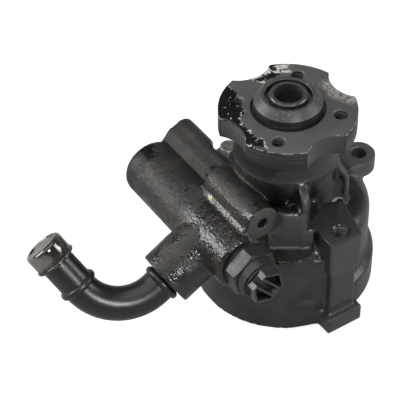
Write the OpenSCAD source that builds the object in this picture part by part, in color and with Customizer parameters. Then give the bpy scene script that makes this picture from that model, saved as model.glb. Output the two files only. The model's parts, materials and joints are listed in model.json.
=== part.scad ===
// Vane-type power steering pump with a flow control valve, a bent suction pipe and a drive hub.
// The shaft lies on Z with the rear face on z = 0. The valve bore runs along Y, and the suction side is -X.

/* [Housing body] */
// Radius of the collar at the rear face
collar_r = 48; // [47:0.5:52]
// Height of the rear collar
collar_h = 17; // [12:1:22]
// Radius of the body wall above the collar
wall_r = 44.4; // [43.5:0.1:46]
// Height at which the body wall turns into the shoulder
wall_top = 46; // [44:1:50]
// Radius of the shoulder's round
shoulder_r = 9; // [6:0.5:12]
// Lean of the shoulder away from upright
shoulder_lean = 60; // [52:1:66]
// Radius of the hollow blend from shoulder to neck
blend_r = 12; // [8:0.5:14]
// Radius of the machined neck
neck_r = 26.6; // [26:0.1:29]
// Step from the machined neck out to the cast neck
neck_step = 1; // [0.5:0.1:2]
// Height at which the cast neck ends
neck_foot = 84; // [82:1:90]
// Length of the machined neck
neck_len = 13.8; // [12:0.1:18]
// Height of the tall wall under the valve
skirt_top = 49; // [46:1:52]
// Direction in which the flat panel beside the post faces
panel_angle = -98.4; // [-101:0.1:-96]
// Distance of the flat panel from the shaft
panel_reach = 45; // [44.5:0.1:46.5]
// Edge chamfer on machined ends
edge = 1; // [0.5:0.1:1.5]

/* [Mounting points] */
// Height of the mounting plane
mount_z = 61; // [59:0.5:64]
// Distance of the ear's hole from the shaft
ear_reach = 45.3; // [44:0.1:50]
// Angle of the ear about the shaft
ear_angle = -4; // [-8:1:4]
// Radius of the ear's hole
ear_hole_r = 4.2; // [3.2:0.1:5.2]
// Radius of the ear's end
ear_r = 9; // [8:0.1:11]
// Thickness of the ear
ear_t = 10.3; // [8:0.1:14]
// Distance of the post's hole from the shaft
post_reach = 46; // [44:0.1:48]
// Angle of the post's hole about the shaft
post_angle = -88; // [-92:0.5:-86]
// Direction in which the post's front faces
post_turn = -90; // [-94:0.5:-86]
// Radius of the post's tapped hole
post_hole_r = 4.25; // [3.4:0.05:5.25]
// Depth of the post's tapped hole
post_hole_depth = 20; // [12:1:26]
// Width of the post at its front
post_w = 18.6; // [17:0.1:22]
// Flare of the post's right flank towards the body
post_flare = 16; // [0:1:24]
// Distance of the upper block's face from the shaft
post_face = 53.6; // [53:0.1:56]
// Height of the upper block
post_block_h = 22; // [18:0.5:26]
// How far the panel lies behind the block's face
post_panel = 1.6; // [0.8:0.1:2.5]
// How far the foot stands out past the block's face
foot_out = 2.3; // [1:0.1:4]
// How far the foot stands out at each side of the post
foot_side = 1.4; // [0:0.1:2]
// Height of the foot
foot_h = 10; // [7:0.5:13]
// Radius cut clear round the ear's hole
ear_spot_r = 16; // [14:0.5:17]
// Radius of the milled cut over the post
mill_r = 30; // [26:0.5:32]
// Distance of the milled cut's centre from the shaft
mill_reach = 58; // [56:0.5:62]
// Angle of the milled cut's centre about the shaft
mill_angle = -82; // [-86:0.5:-78]

/* [Flange bolt] */
// Distance of the flange bolt from the shaft
lug_reach = 36; // [36:0.1:39]
// Angle of the flange bolt about the shaft
lug_angle = 111; // [105:1:113]
// Radius of the lug under the bolt
lug_r = 8.4; // [8:0.1:9.5]
// Thread radius of the bolt
bolt_r = 3; // [2.5:0.5:4]
// Thread length of the bolt
bolt_len = 18; // [12:1:24]
// Flange radius of the bolt
bolt_flange_r = 7.4; // [6.5:0.1:8]
// Width across flats of the bolt's head
bolt_flats = 8.6; // [8:0.1:10]
// Height of the bolt's head above its flange
bolt_head_h = 4.8; // [4:0.1:6]

/* [Ribs and front pad] */
// Angle and reach of each rib between neck and shoulder
ribs = [[-109, 38.5], [-52, 33.5], [60, 36]];
// Radius of a rib's crest
rib_crest_r = 12; // [8:0.5:14]
// Height at which a rib's crest starts to turn in
rib_crest_z = 70.5; // [68:0.5:74]
// Thickness of a rib
rib_t = 5; // [3:0.5:7]
// Direction in which the front pad faces
pad_angle = -123; // [-128:1:-118]
// Distance of the pad's face from the shaft
pad_reach = 37.2; // [36.5:0.1:39]
// Width of the pad
pad_w = 24.5; // [22:0.5:27]
// Height of the pad's crown
pad_top = 72.5; // [70:0.5:75]
// Thickness of the pad's crown
pad_t = 7; // [5:0.5:9]

/* [Valve gallery] */
// Distance of the valve axis from the shaft
valve_x = 45.8; // [45:0.1:48]
// Height of the valve axis
valve_z = 50.5; // [50:0.1:54]
// Distance of the gallery's front face from the shaft
valve_front = 29.2; // [27:0.1:32]
// Length of the gallery
valve_len = 91.7; // [86:0.1:100]
// Outer radius of the gallery
valve_r = 15.8; // [15:0.1:17]
// Radius of the rounded rear end
valve_end_r = 5; // [3:0.5:7]
// Radius of the spool bore
spool_bore_r = 8; // [7:0.1:8.3]
// Radius of the threaded port
port_r = 9; // [8.7:0.1:10]
// Depth of the threaded port
port_depth = 13; // [11:0.5:16]
// Distance of the side passage from the shaft
passage_x = 32.8; // [31:0.1:34]
// Height of the side passage
passage_z = 68.8; // [67:0.1:70]
// Outer radius of the side passage
passage_r = 9.3; // [8:0.1:10]
// Distance of the side passage's face from the shaft
passage_front = 26; // [24:0.5:28]
// Length of the side passage's round part
passage_len = 40; // [32:1:46]
// Radius of the hole in the side passage
passage_hole_r = 3; // [2:0.1:4]
// Depth of the hole in the side passage
passage_hole_depth = 46; // [30:1:60]
// Distance of the fin's crown from the shaft
fin_x = 23.4; // [22:0.1:25]
// Height of the fin's crown
fin_top = 70.8; // [69:0.1:73]
// Radius of the fin's crown
fin_r = 6.4; // [5:0.1:7]

/* [Suction pipe] */
// Distance of the inlet boss's axis from the shaft, towards the front
boss_y = 1.8; // [0:0.1:4]
// Dip of the inlet boss below level
boss_dip = 28.8; // [24:0.1:34]
// Radius of the inlet boss
boss_r = 15.4; // [14:0.1:16]
// Length of the inlet boss from the valve axis
boss_len = 35; // [32:0.5:40]
// Outer radius of the pipe
pipe_r = 9; // [8:0.1:10]
// Wall of the pipe
pipe_wall = 1.5; // [1:0.1:2]
// Depth of the pipe in the boss
pipe_seat = 12; // [9:0.5:14]
// Distance from the boss's face to the corner of the bend
pipe_leg = 34.5; // [33.5:0.5:42]
// Radius of the bend
bend_r = 27; // [23:0.5:28]
// Angle of the bend
bend_angle = 91.5; // [70:0.5:93]
// Turn of the bend about the boss's axis
pipe_roll = 36; // [10:1:50]
// Distance from the bend's corner to the pipe's end
pipe_out = 56; // [50:0.5:75]
// Distance from the bend's corner to the hose bead
hose_bead_at = 29.5; // [29.5:0.5:36]
// How far a bead stands out of the pipe
bead_out = 1.6; // [1:0.1:2.4]
// Distance from the boss's face to the stop bead
stop_bead_at = 2.4; // [2.2:0.1:3]
// Length of the cap on the pipe's end
cap_len = 11.5; // [9:0.5:14]
// Wall of the cap
cap_wall = 1.6; // [1.2:0.1:2.4]
// Rounding of the cap's end
cap_round = 1.9; // [1:0.1:2.2]

/* [Outlet] */
// Width across flats of the union
union_flats = 24; // [22:0.5:26]
// Length of the union's hexagon
union_hex_len = 8.5; // [6:0.5:11]
// Radius of the union's round collar
union_collar_r = 11; // [10.2:0.1:11.5]
// Length of the union's round collar
union_collar_len = 5; // [3:0.5:7]
// Radius of the union's outlet
outlet_r = 7; // [6:0.1:7.4]
// Thickness of the sealing washer
washer_t = 1.2; // [0.8:0.1:2]
// Width across flats of the transit plug
plug_flats = 17; // [16.6:0.1:19]
// Height of the transit plug's hexagon
plug_hex_len = 6; // [4:0.5:8]
// Wall of the transit plug's pockets
plug_wall = 1.2; // [1:0.1:1.6]
// Width of the transit plug's slot
plug_slot_w = 3.8; // [2:0.1:4.5]

/* [Drive hub] */
// Radius of the hub
hub_r = 35.2; // [34:0.1:38]
// Thickness of the hub's flange
hub_t = 12; // [9:0.5:15]
// Gap between the neck and the hub
hub_gap = 1.2; // [0.8:0.1:4]
// Turn of the hub at rest
hub_turn = -1; // [-10:1:10]
// Pitch circle diameter of the hub's tapped holes
hub_pcd = 53; // [50:0.5:56]
// Radius of the hub's tapped holes
hub_hole_r = 3.4; // [2.5:0.1:4]
// Radius of the scallops between the holes
scallop_r = 17; // [14:0.5:20]
// Distance from the shaft to the deepest point of a scallop
scallop_depth_r = 28.9; // [27.5:0.1:31]
// Radius of the hub's pilot
pilot_r = 17.5; // [16.5:0.1:18.5]
// Height of the pilot's straight wall
pilot_h = 5; // [3:0.5:8]
// Height of the pilot's cone
pilot_cone_h = 3.5; // [2:0.5:5]
// Radius of the pilot's end
pilot_tip_r = 13.7; // [13:0.1:15]
// Width of the groove round the pilot
groove_w = 1.5; // [0.5:0.1:2.5]
// Radius of the recess round the shaft's end
recess_r = 12; // [11:0.1:12.5]
// Depth of the recess round the shaft's end
recess_depth = 4; // [2:0.5:6]

/* [Shaft and bearing] */
// Radius of the shaft in its bearing
shaft_r = 10; // [9.9:0.1:10.5]
// Radius of the shaft in the hub
shaft_hub_r = 9.7; // [9.2:0.1:9.8]
// Radius of the shaft in the bush
shaft_bush_r = 9.2; // [9:0.1:9.5]
// Radius of the hole in the shaft's end
shaft_hole_r = 7.5; // [6:0.1:7.7]
// Depth of the hole in the shaft's end
shaft_hole_depth = 22; // [12:1:26]
// How far the shaft stands out of the pilot
shaft_out = 0.5; // [0.2:0.1:2]
// Outer radius of the ball bearing
bearing_r = 21; // [20.5:0.1:22]
// Width of the ball bearing
bearing_w = 12; // [11:0.5:13]
// Radial thickness of each bearing race
race_t = 3.2; // [2.8:0.1:3.6]
// Radius of a bearing ball
ball_r = 3.2; // [2.8:0.05:3.4]
// Number of bearing balls
ball_count = 9; // [7:1:10]
// Thickness of the bearing's circlip
circlip_t = 1.5; // [1:0.1:2]
// Radius of the shaft seal
seal_r = 16; // [15:0.1:17]
// Width of the shaft seal
seal_w = 7; // [5:0.5:8]
// Wall of the bush
bush_wall = 1.8; // [1:0.1:2.2]
// Length of the bush
bush_len = 15; // [10:1:18]

/* [Pumping cartridge] */
// Radius of the housing's rear bore
bore_r = 40; // [39.5:0.1:41]
// Depth of the end cover behind the rear face
cover_inset = 2.5; // [2.2:0.1:4]
// Thickness of the end cover
cover_t = 6.5; // [5.5:0.5:8]
// Room for the pressure spring
spring_room = 8; // [7:0.5:10]
// Thickness of the pressure plate
pressure_plate_t = 6; // [5:0.5:7]
// Height of the cam ring
cam_h = 14; // [12:0.5:15]
// Thickness of the thrust plate
thrust_plate_t = 4; // [3:0.5:4.5]
// Outer radius of the cam ring
cam_r = 37; // [36:0.1:38.5]
// Radius of the rotor
rotor_r = 23; // [22:0.1:23.2]
// Radial gap between rotor and cam at its narrowest
cam_gap = 0.4; // [0.3:0.05:0.6]
// How far the cam swells past its narrowest radius
cam_lift = 2.6; // [1.5:0.1:3.5]
// Number of vanes
vane_count = 10; // [10:1:10]
// Thickness of a vane
vane_t = 1.8; // [1.4:0.1:2.2]
// Radial length of a vane
vane_len = 10.2; // [8:0.1:10.6]
// How far a drawn-in vane lies below the rotor's edge
vane_in = 0.6; // [0.5:0.05:0.9]
// Mean radius of the pressure spring
pressure_spring_r = 29; // [28:0.1:30]
// Wire diameter of the pressure spring
pressure_wire = 2.2; // [1.6:0.1:2.6]
// Radius of the pad behind the end cover
cover_pad_r = 15; // [12:0.5:20]
// Radius of a dowel pin
dowel_r = 2.5; // [2:0.1:3]
// Distance of the dowel pins from the shaft
dowel_reach = 31.5; // [31:0.1:32.5]

/* [Flow control] */
// Length of the spool
spool_len = 30; // [26:0.5:34]
// Room for the flow spring behind the spool
flow_spring_room = 22; // [18:0.5:26]
// Wire diameter of the flow spring
flow_wire = 1.5; // [1:0.1:2]
// Turns of the flow spring
flow_turns = 7; // [5:1:9]
// Radius of the relief ball
relief_ball_r = 2; // [1.8:0.1:2.4]

/* [Hidden] */
$fn = 64;
// Clearances, named by where they are used
press = 0.02;
running = 0.04;
rest_gap = 0.3;
side_gap = 0.05;
eps = 0.01;
arc_steps = 8;

// Heights up the shaft
neck_top = neck_foot + neck_len;
hub_low = neck_top + hub_gap;
hub_top = hub_low + hub_t;
pilot_top = hub_top + pilot_h + pilot_cone_h;
shaft_top = pilot_top + shaft_out;
circlip_inset = 0.8;
circlip_reach = 2.2;
circlip_mouth = 10;
oring_r = 1.4;
cage_t = 2;
cage_rim = 0.8;
seal_wall = 1.5;
seal_lip_w = 2;
lug_floor = 6;
mill_stock = 0.5;
skirt_from = -205;
skirt_to = -104;
ledge_lap = 1;
flange_t = 1.8;
flange_slope = 1.4;
bolt_turn = 10;
fin_slope = 0.6;
fin_drop = 0.2;
web_low = 0.6;
web_mid = 0.5;
web_high = 0.9;
bearing_top = neck_top - circlip_inset - circlip_t;
bearing_low = bearing_top - bearing_w;
race_ledge = 1.6;
seal_top = bearing_low - race_ledge;
seal_low = seal_top - seal_w;
cover_in = cover_inset + cover_t;
pressure_low = cover_in + spring_room;
cam_low = pressure_low + pressure_plate_t;
thrust_low = cam_low + cam_h;
cavity_top = thrust_low + thrust_plate_t;
bush_top = cavity_top + bush_len;

// Radii worked out from the fits
cast_neck_r = neck_r + neck_step;
bush_r = shaft_bush_r + running + bush_wall;
shaft_bore_r = bush_r + press;
cam_min_r = rotor_r + cam_gap;
ball_pitch_r = (shaft_r + bearing_r) / 2;
spline_r = shaft_bush_r - 1;
spline_depth = 1;
spline_teeth = 10;
spline_tooth_w = 1.6;
tail_r = spline_r - spline_depth - 0.2;
tail_len = 4;
groove_depth = 1.2;
rotor_clip_t = 1.2;
rotor_clip_out = 1.8;
rotor_clip_mouth = 35;
plate_hole_r = tail_r + rotor_clip_out + 1.2;
slot_inner_r = rotor_r - vane_in - vane_len - 0.5;
slot_relief_r = 0.75 * vane_t;

clip_groove = 0.8;
dowel_seat = 3.5;
pressure_turns = 2.5;
kidney_r = rotor_r - 1.5;
kidney_w = 4;
kidney_sweep = 50;
ring_wire_r = 1;
ring_start = 20;
ring_sweep = 325;
cover_land = 12;
cover_boss_r = pressure_spring_r - pressure_wire / 2 - 1.5;
cover_groove_r = cover_pad_r + cover_land;
cover_seal_z = cover_in - oring_r - 1.2;

// Valve stations along Y, from the gallery's front face
front_y = -valve_front;
spool_y = front_y + port_depth + rest_gap;
spool_end = spool_y + spool_len;
spool_bore_end = spool_end + flow_spring_room;
spool_r = spool_bore_r - running;
feed_r = 2.2;
feed_x = valve_x - spool_bore_r;
spool_land_at = 8;
spool_land_w = 4;
spool_land_depth = 1.8;
oil_groove_w = 0.8;
oil_groove_depth = 0.5;
oil_groove_step = 3;
nose_hole_r = 2.5;
relief_at = 10;
relief_bore_r = relief_ball_r + 1.2;
relief_seat_len = 7;
relief_seat_y = spool_end - relief_seat_len;
relief_hole_r = relief_ball_r * 0.6;
relief_ball_y = relief_seat_y - sqrt(relief_ball_r ^ 2 - relief_hole_r ^ 2) - running;
relief_wire = 0.7;
relief_turns = 4;
relief_spring_len = relief_ball_y - 0.8 * relief_ball_r - spool_y - relief_at;
union_thread_r = port_r - press;
hex_turn = 40.5;
hex_chamfer = 1.1;
union_room = 2 * (union_hex_len + union_collar_len);
outlet_step = 2.5;
plug_lip = 1;
plug_shank = 4;
plug_slot_turn = hex_turn + 90;
plug_slot_stop = plug_flats / 2 - 2 * plug_wall;
union_face = front_y - washer_t;
union_hex_end = union_face - union_hex_len;
union_end = union_hex_end - union_collar_len;

// Pipe stations along its two legs
bend_cut = bend_r * tan(bend_angle / 2);
corner_at = boss_len + pipe_leg;
bend_start = corner_at - bend_cut;
leg_end = pipe_out - bend_cut;
leg_lap = 0.5;
bend_thin = 0.05;

vane_names = [for (i = [1:vane_count]) str("vane_", i < 10 ? "0" : "", i)];

// Shared shapes

function arc(centre, r, a0, a1) =
    [for (i = [0:arc_steps]) let (a = a0 + (a1 - a0) * i / arc_steps) centre + r * [cos(a), sin(a)]];

// Turns local +Z to point along the valve axis, away from the front face
module along_valve(y) translate([-valve_x, y, valve_z]) rotate([-90, 0, 0]) children();

// Turns local +X to point out of the inlet boss
module along_boss()
    translate([-valve_x, -boss_y, valve_z]) rotate([0, 0, 180]) rotate([0, boss_dip, 0]) children();

// Local +X along the pipe's second leg, from the end of its bend
module along_outer_leg()
    along_boss() rotate([pipe_roll, 0, 0]) translate([bend_start, 0, bend_r])
        rotate([0, -bend_angle, 0]) translate([0, 0, -bend_r]) children();

// A rod along local +X
module x_rod(r, from, to) translate([from, 0, 0]) rotate([0, 90, 0]) cylinder(r = r, h = to - from);

module tube(outer, inner, h) difference() {
    cylinder(r = outer, h = h);
    translate([0, 0, -1]) cylinder(r = inner, h = h + 2);
}

module torus(r, wire) rotate_extrude() translate([r, 0]) circle(wire);

module wedge(from, to, r, h) linear_extrude(h) polygon(concat([[0, 0]], arc([0, 0], r, from, to)));

// A round-wire coil standing on z = 0, swept ring by ring
module coil(r, wire, turns, height) {
    sides = 8;
    per_turn = 18;
    n = turns * per_turn;
    rise = height - wire;
    pts = [for (i = [0:n]) for (k = [0:sides - 1])
        let (a = i * 360 / per_turn, q = k * 360 / sides, rr = r + wire / 2 * cos(q))
        [rr * cos(a), rr * sin(a), wire / 2 + rise * i / n + wire / 2 * sin(q)]];
    walls = [for (i = [0:n - 1]) for (k = [0:sides - 1])
        let (j = (k + 1) % sides)
        [i * sides + k, (i + 1) * sides + k, (i + 1) * sides + j, i * sides + j]];
    start_cap = [for (k = [0:sides - 1]) k];
    end_cap = [for (k = [0:sides - 1]) n * sides + sides - 1 - k];
    polyhedron(points = pts, faces = concat(walls, [start_cap, end_cap]), convexity = 10);
}

module spline_outline(grow) {
    circle(r = spline_r - spline_depth + grow);
    for (i = [0:spline_teeth - 1]) rotate(i * 360 / spline_teeth)
        translate([0, -spline_tooth_w / 2 - grow]) square([spline_r + grow, spline_tooth_w + 2 * grow]);
}

module kidney_ports(h) for (k = [0:3]) rotate(45 - kidney_sweep / 2 + 90 * k)
    rotate_extrude(angle = kidney_sweep) translate([kidney_r - kidney_w / 2, 0]) square([kidney_w, h]);

module dowel_holes(z, h) for (s = [-1, 1])
    translate([0, s * dowel_reach, z]) cylinder(r = dowel_r + press, h = h);

// Housing: the body of revolution from the rear collar to the neck
module body_profile() {
    inward = 180;
    c1 = [wall_r - shoulder_r, wall_top];
    e1 = c1 + shoulder_r * [cos(shoulder_lean), sin(shoulder_lean)];
    s2_x = cast_neck_r + blend_r * (1 - cos(shoulder_lean));
    s2_z = e1[1] + (e1[0] - s2_x) / tan(shoulder_lean);
    c2 = [cast_neck_r + blend_r, s2_z + blend_r * sin(shoulder_lean)];
    polygon(concat(
        [[0, 0], [collar_r - edge, 0], [collar_r, edge], [collar_r, collar_h],
         [wall_r, collar_h + collar_r - wall_r]],
        arc(c1, shoulder_r, 0, shoulder_lean),
        arc(c2, blend_r, inward + shoulder_lean, inward),
        [[cast_neck_r, neck_foot], [neck_r, neck_foot], [neck_r, neck_top - edge], [neck_r - edge, neck_top],
         [0, neck_top]]));
}

// The tall wall under the valve, which ends in a flat panel beside the post
module skirt() intersection() {
    cylinder(r = collar_r, h = skirt_top);
    wedge(skirt_from, skirt_to, 2 * collar_r, skirt_top);
    rotate(panel_angle) translate([panel_reach - 4 * collar_r, -2 * collar_r, 0])
        cube([4 * collar_r, 4 * collar_r, skirt_top]);
}

module rib(angle, reach) rotate(angle) rotate([90, 0, 0]) translate([0, 0, -rib_t / 2]) linear_extrude(rib_t)
    intersection() {
        polygon(concat([[0, wall_top], [reach, wall_top]],
            arc([reach - rib_crest_r, rib_crest_z], rib_crest_r, 0, 90), [[0, rib_crest_z + rib_crest_r]]));
        square([reach, neck_foot - eps]);
    }

// Round-headed outline of the front pad, drawn upright with its width on X
module pad_outline(inset) {
    half = pad_w / 2 - inset;
    crown_z = pad_top - pad_w / 2;
    translate([0, crown_z]) circle(r = half);
    translate([-half, skirt_top - 1]) square([2 * half, crown_z - skirt_top + 1]);
}

module front_pad() difference() {
    rotate(pad_angle + 90) for (inset = [0, edge]) translate([0, -pad_reach + edge - inset, 0])
        rotate([90, 0, 0]) mirror([0, 0, 1]) linear_extrude(pad_t) pad_outline(inset);
    along_passage(-2 * passage_r) cylinder(r = passage_r, h = 2 * passage_r);
}

// Cuts the shoulder back to the front pad's face, so that the tall wall ends in a ledge
module pad_ledge() rotate(pad_angle + 90) translate([-pad_w / 2, -2 * collar_r, skirt_top - ledge_lap])
    cube([pad_w, 2 * collar_r - pad_reach, pad_top - skirt_top + ledge_lap]);

module ear() rotate(ear_angle) translate([0, 0, mount_z - ear_t]) linear_extrude(ear_t) {
    translate([ear_reach, 0]) circle(r = ear_r);
    translate([neck_r, -ear_r]) square([ear_reach - neck_r, 2 * ear_r]);
}

// Plan of the post: front on -Y, its right flank flared towards the body
module post_plan(inset) {
    back_y = wall_r / 2;
    flare = (post_face - back_y) * tan(post_flare);
    polygon([[-post_w / 2 + inset, -post_face + inset], [post_w / 2 - inset, -post_face + inset],
             [post_w / 2 + flare - inset, -back_y], [-post_w / 2 + inset, -back_y]]);
}

module post() rotate(post_turn + 90) {
    translate([0, 0, mount_z - post_block_h]) linear_extrude(post_block_h + mill_stock) post_plan(0);
    linear_extrude(mount_z - post_block_h + eps) post_plan(post_panel);
    translate([-post_w / 2 - foot_side, -post_face - foot_out, 0])
        cube([post_w + 2 * foot_side, foot_out + post_face / 2, foot_h]);
}

module at_post() rotate(post_angle) translate([post_reach, 0, mount_z]) children();
module at_ear() rotate(ear_angle) translate([ear_reach, 0, mount_z]) children();
module at_lug() rotate(lug_angle) translate([lug_reach, 0, mount_z]) children();

// Turns local +Z to run into the side passage from its face
module along_passage(depth)
    translate([-passage_x, depth - passage_front, passage_z]) rotate([-90, 0, 0]) children();

module gallery() {
    along_valve(front_y) rotate_extrude() polygon(concat(
        [[0, 0], [valve_r - edge, 0], [valve_r, edge]],
        arc([valve_r - valve_end_r, valve_len - valve_end_r], valve_end_r, 0, 90),
        [[0, valve_len]]));
    along_boss() x_rod(boss_r, 0, boss_len);
    along_passage(0) cylinder(r = passage_r, h = passage_len);
    fin_low = valve_z - valve_r / 2;
    fin_y = passage_len - passage_front - 4;
    translate([0, front_y + valve_len, 0]) rotate([90, 0, 0]) linear_extrude(front_y + valve_len - fin_y) {
        translate([-fin_x, fin_top - fin_r]) circle(r = fin_r);
        polygon([[-valve_x, fin_low], [-fin_x + fin_r, fin_low], [-fin_x + fin_r, fin_top - fin_r],
                 [-fin_x - fin_r * fin_slope, fin_top - fin_r * fin_drop], [-passage_x + 1, passage_z - 1],
                 [-passage_x - passage_r * web_low, valve_z + valve_r * web_low],
                 [-valve_x, valve_z + valve_r * web_mid]]);
    }
    translate([0, fin_y + 1, 0]) rotate([90, 0, 0]) linear_extrude(fin_y + passage_front + 1)
        polygon([[-valve_x, valve_z - valve_r * web_low], [-neck_r, valve_z - valve_r * web_low],
                 [-neck_r, passage_z], [-passage_x, passage_z], [-valve_x, valve_z + valve_r * web_high]]);
}

module shaft_tunnel() {
    translate([0, 0, -1]) cylinder(r = bore_r + press, h = cavity_top + 1);
    translate([0, 0, cavity_top - 1]) cylinder(r = shaft_bore_r, h = neck_top - cavity_top);
    translate([0, 0, seal_low]) cylinder(r = seal_r + press, h = neck_top);
    translate([0, 0, seal_top]) cylinder(r = bearing_r - race_t, h = neck_top);
    translate([0, 0, bearing_low]) cylinder(r = bearing_r + press, h = neck_top);
    translate([0, 0, bearing_top]) cylinder(r = bearing_r + circlip_t, h = circlip_t + press);
    translate([0, 0, cover_inset - ring_wire_r]) torus(bore_r, ring_wire_r + press);
}

module valve_tunnel() {
    along_valve(front_y - union_room) cylinder(r = union_flats / sqrt(3) + 1, h = union_room);
    along_valve(front_y - 1) cylinder(r = port_r, h = port_depth + 1);
    along_valve(front_y) cylinder(r = spool_bore_r, h = spool_bore_end - front_y);
    along_boss() x_rod(pipe_r - pipe_wall, 0, boss_len);
    along_boss() x_rod(pipe_r + press, boss_len - pipe_seat, boss_len + 1);
    along_boss() x_rod(pipe_r + 2 * oring_r, boss_len - 2 * oring_r, boss_len + 1);
    along_passage(-1) cylinder(r = passage_hole_r, h = passage_hole_depth + 1);
    for (y = [spool_y + 2 * feed_r, spool_end]) translate([-feed_x, y, cavity_top - 2])
        cylinder(r = feed_r, h = valve_z - cavity_top + 2);
}

module mounting_cuts() {
    rotate(mill_angle) translate([mill_reach, 0, mount_z]) cylinder(r = mill_r, h = neck_top - mount_z);
    at_ear() cylinder(r = ear_spot_r, h = neck_top - mount_z);
    at_lug() cylinder(r = lug_r + mill_stock, h = neck_top - mount_z);
    at_post() translate([0, 0, -post_hole_depth]) cylinder(r = post_hole_r, h = post_hole_depth + 1);
    at_ear() translate([0, 0, -ear_t - 1]) cylinder(r = ear_hole_r, h = ear_t + 2);
    at_lug() translate([0, 0, -bolt_len - 1]) cylinder(r = bolt_r + press, h = bolt_len + 2);
}

module pump_housing() color("#1b1b1c") difference() {
    union() {
        difference() {
            rotate_extrude() body_profile();
            pad_ledge();
        }
        skirt();
        front_pad();
        for (r = ribs) rib(r[0], r[1]);
        gallery();
        ear();
        post();
        at_lug() translate([0, 0, -bolt_len - lug_floor]) cylinder(r = lug_r, h = bolt_len + lug_floor);
    }
    shaft_tunnel();
    valve_tunnel();
    mounting_cuts();
    dowel_holes(cavity_top - 1, dowel_seat + 1.5);
}

// Rotating group

module drive_hub() color("#2c2c2e") difference() {
    union() {
        rotate_extrude() polygon([[0, hub_low], [hub_r - edge / 2, hub_low], [hub_r, hub_low + edge / 2],
            [hub_r, hub_top - edge / 2], [hub_r - edge / 2, hub_top], [0, hub_top]]);
        rotate_extrude() polygon([[0, hub_top - 1], [pilot_r, hub_top - 1], [pilot_r, hub_top + pilot_h],
            [pilot_tip_r, pilot_top], [0, pilot_top]]);
        translate([0, 0, bearing_top]) cylinder(r = shaft_r + race_t / 2, h = hub_low - bearing_top + 1);
    }
    translate([0, 0, hub_top - groove_depth]) tube(pilot_r + groove_w, pilot_r, groove_depth + 1);
    for (k = [0:3]) rotate(hub_turn + 90 * k) {
        translate([scallop_depth_r + scallop_r, 0, hub_low - 1]) cylinder(r = scallop_r, h = hub_t + 2);
        rotate(45) translate([hub_pcd / 2, 0, hub_low - 1]) cylinder(r = hub_hole_r, h = hub_t + 2);
    }
    translate([0, 0, bearing_top - 1]) cylinder(r = shaft_hub_r, h = shaft_top);
    translate([0, 0, pilot_top - recess_depth]) cylinder(r = recess_r, h = recess_depth + 1);
}

module drive_shaft() color("#3a3a3c") difference() {
    tip = edge / 2;
    union() {
        translate([0, 0, cam_low - tail_len]) cylinder(r = tail_r, h = tail_len + 1);
        translate([0, 0, cam_low]) linear_extrude(cavity_top - cam_low + eps) spline_outline(0);
        translate([0, 0, cavity_top]) cylinder(r = shaft_bush_r, h = bush_top - cavity_top + 1);
        translate([0, 0, bush_top + 1]) cylinder(r = shaft_r, h = bearing_top - bush_top - 1);
        translate([0, 0, bearing_top - 1]) cylinder(r = shaft_hub_r, h = shaft_top - tip - bearing_top + 1);
        translate([0, 0, shaft_top - tip]) cylinder(r1 = shaft_hub_r, r2 = shaft_hub_r - tip, h = tip);
    }
    translate([0, 0, shaft_top - shaft_hole_depth]) cylinder(r = shaft_hole_r, h = shaft_hole_depth + 1);
    translate([0, 0, shaft_top - shaft_hole_depth - shaft_hole_r / 2])
        cylinder(r1 = 0, r2 = shaft_hole_r, h = shaft_hole_r / 2 + eps);
    translate([0, 0, cam_low - side_gap - rotor_clip_t]) tube(tail_r + 1, tail_r - clip_groove, rotor_clip_t);
}

module shaft_seal() color("#141414") rotate_extrude() polygon([
    [shaft_r + running, seal_low + seal_w / 3], [shaft_r + seal_lip_w, seal_low + seal_wall],
    [seal_r - seal_wall, seal_low + seal_wall], [seal_r - seal_wall, seal_low], [seal_r, seal_low],
    [seal_r, seal_top], [shaft_r + seal_lip_w, seal_top], [shaft_r + seal_lip_w, seal_top - seal_wall],
    [shaft_r + running, seal_low + seal_w / 2]]);

module race(inner, outer) difference() {
    translate([0, 0, bearing_low]) tube(outer, inner, bearing_w);
    translate([0, 0, bearing_low + bearing_w / 2]) torus(ball_pitch_r, ball_r + running);
}

module bearing_outer_race() color("silver") race(bearing_r - race_t, bearing_r);
module bearing_inner_race() color("silver") race(shaft_r, shaft_r + race_t);

module bearing_ball_places() for (i = [0:ball_count - 1]) rotate(i * 360 / ball_count)
    translate([ball_pitch_r, 0, bearing_low + bearing_w / 2]) children();

module bearing_balls() color("gainsboro") bearing_ball_places() sphere(r = ball_r);

module bearing_cage() color("goldenrod") difference() {
    translate([0, 0, bearing_low + bearing_w / 2 - ball_r - cage_rim])
        tube(ball_pitch_r + cage_t / 2, ball_pitch_r - cage_t / 2, 2 * (ball_r + cage_rim));
    bearing_ball_places() sphere(r = ball_r + running);
}

module bearing_circlip() color("dimgray") translate([0, 0, bearing_top]) difference() {
    tube(bearing_r + circlip_t - press, bearing_r - circlip_reach, circlip_t);
    translate([0, 0, -1]) wedge(-circlip_mouth, circlip_mouth, 2 * bearing_r, circlip_t + 2);
}

module shaft_bush() color("peru")
    translate([0, 0, cavity_top]) tube(bush_r, shaft_bush_r + running, bush_len);

// Pumping cartridge

module thrust_plate() color("gray") difference() {
    translate([0, 0, thrust_low]) cylinder(r = bore_r, h = thrust_plate_t);
    translate([0, 0, thrust_low - 1]) cylinder(r = spline_r + 0.5, h = thrust_plate_t + 2);
    translate([0, 0, thrust_low - 1]) kidney_ports(thrust_plate_t + 2);
    dowel_holes(thrust_low - 1, thrust_plate_t + 2);
}

module cam_ring() color("darkgray") difference() {
    translate([0, 0, cam_low]) cylinder(r = cam_r, h = cam_h);
    translate([0, 0, cam_low - 1]) linear_extrude(cam_h + 2) {
        for (s = [-1, 1]) translate([s * cam_lift, 0]) circle(r = cam_min_r);
        translate([-cam_lift, -cam_min_r]) square([2 * cam_lift, 2 * cam_min_r]);
    }
    dowel_holes(cam_low - 1, cam_h + 2);
}

module vane_places(i) rotate(i * 360 / vane_count + 180 / vane_count) children();

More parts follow.
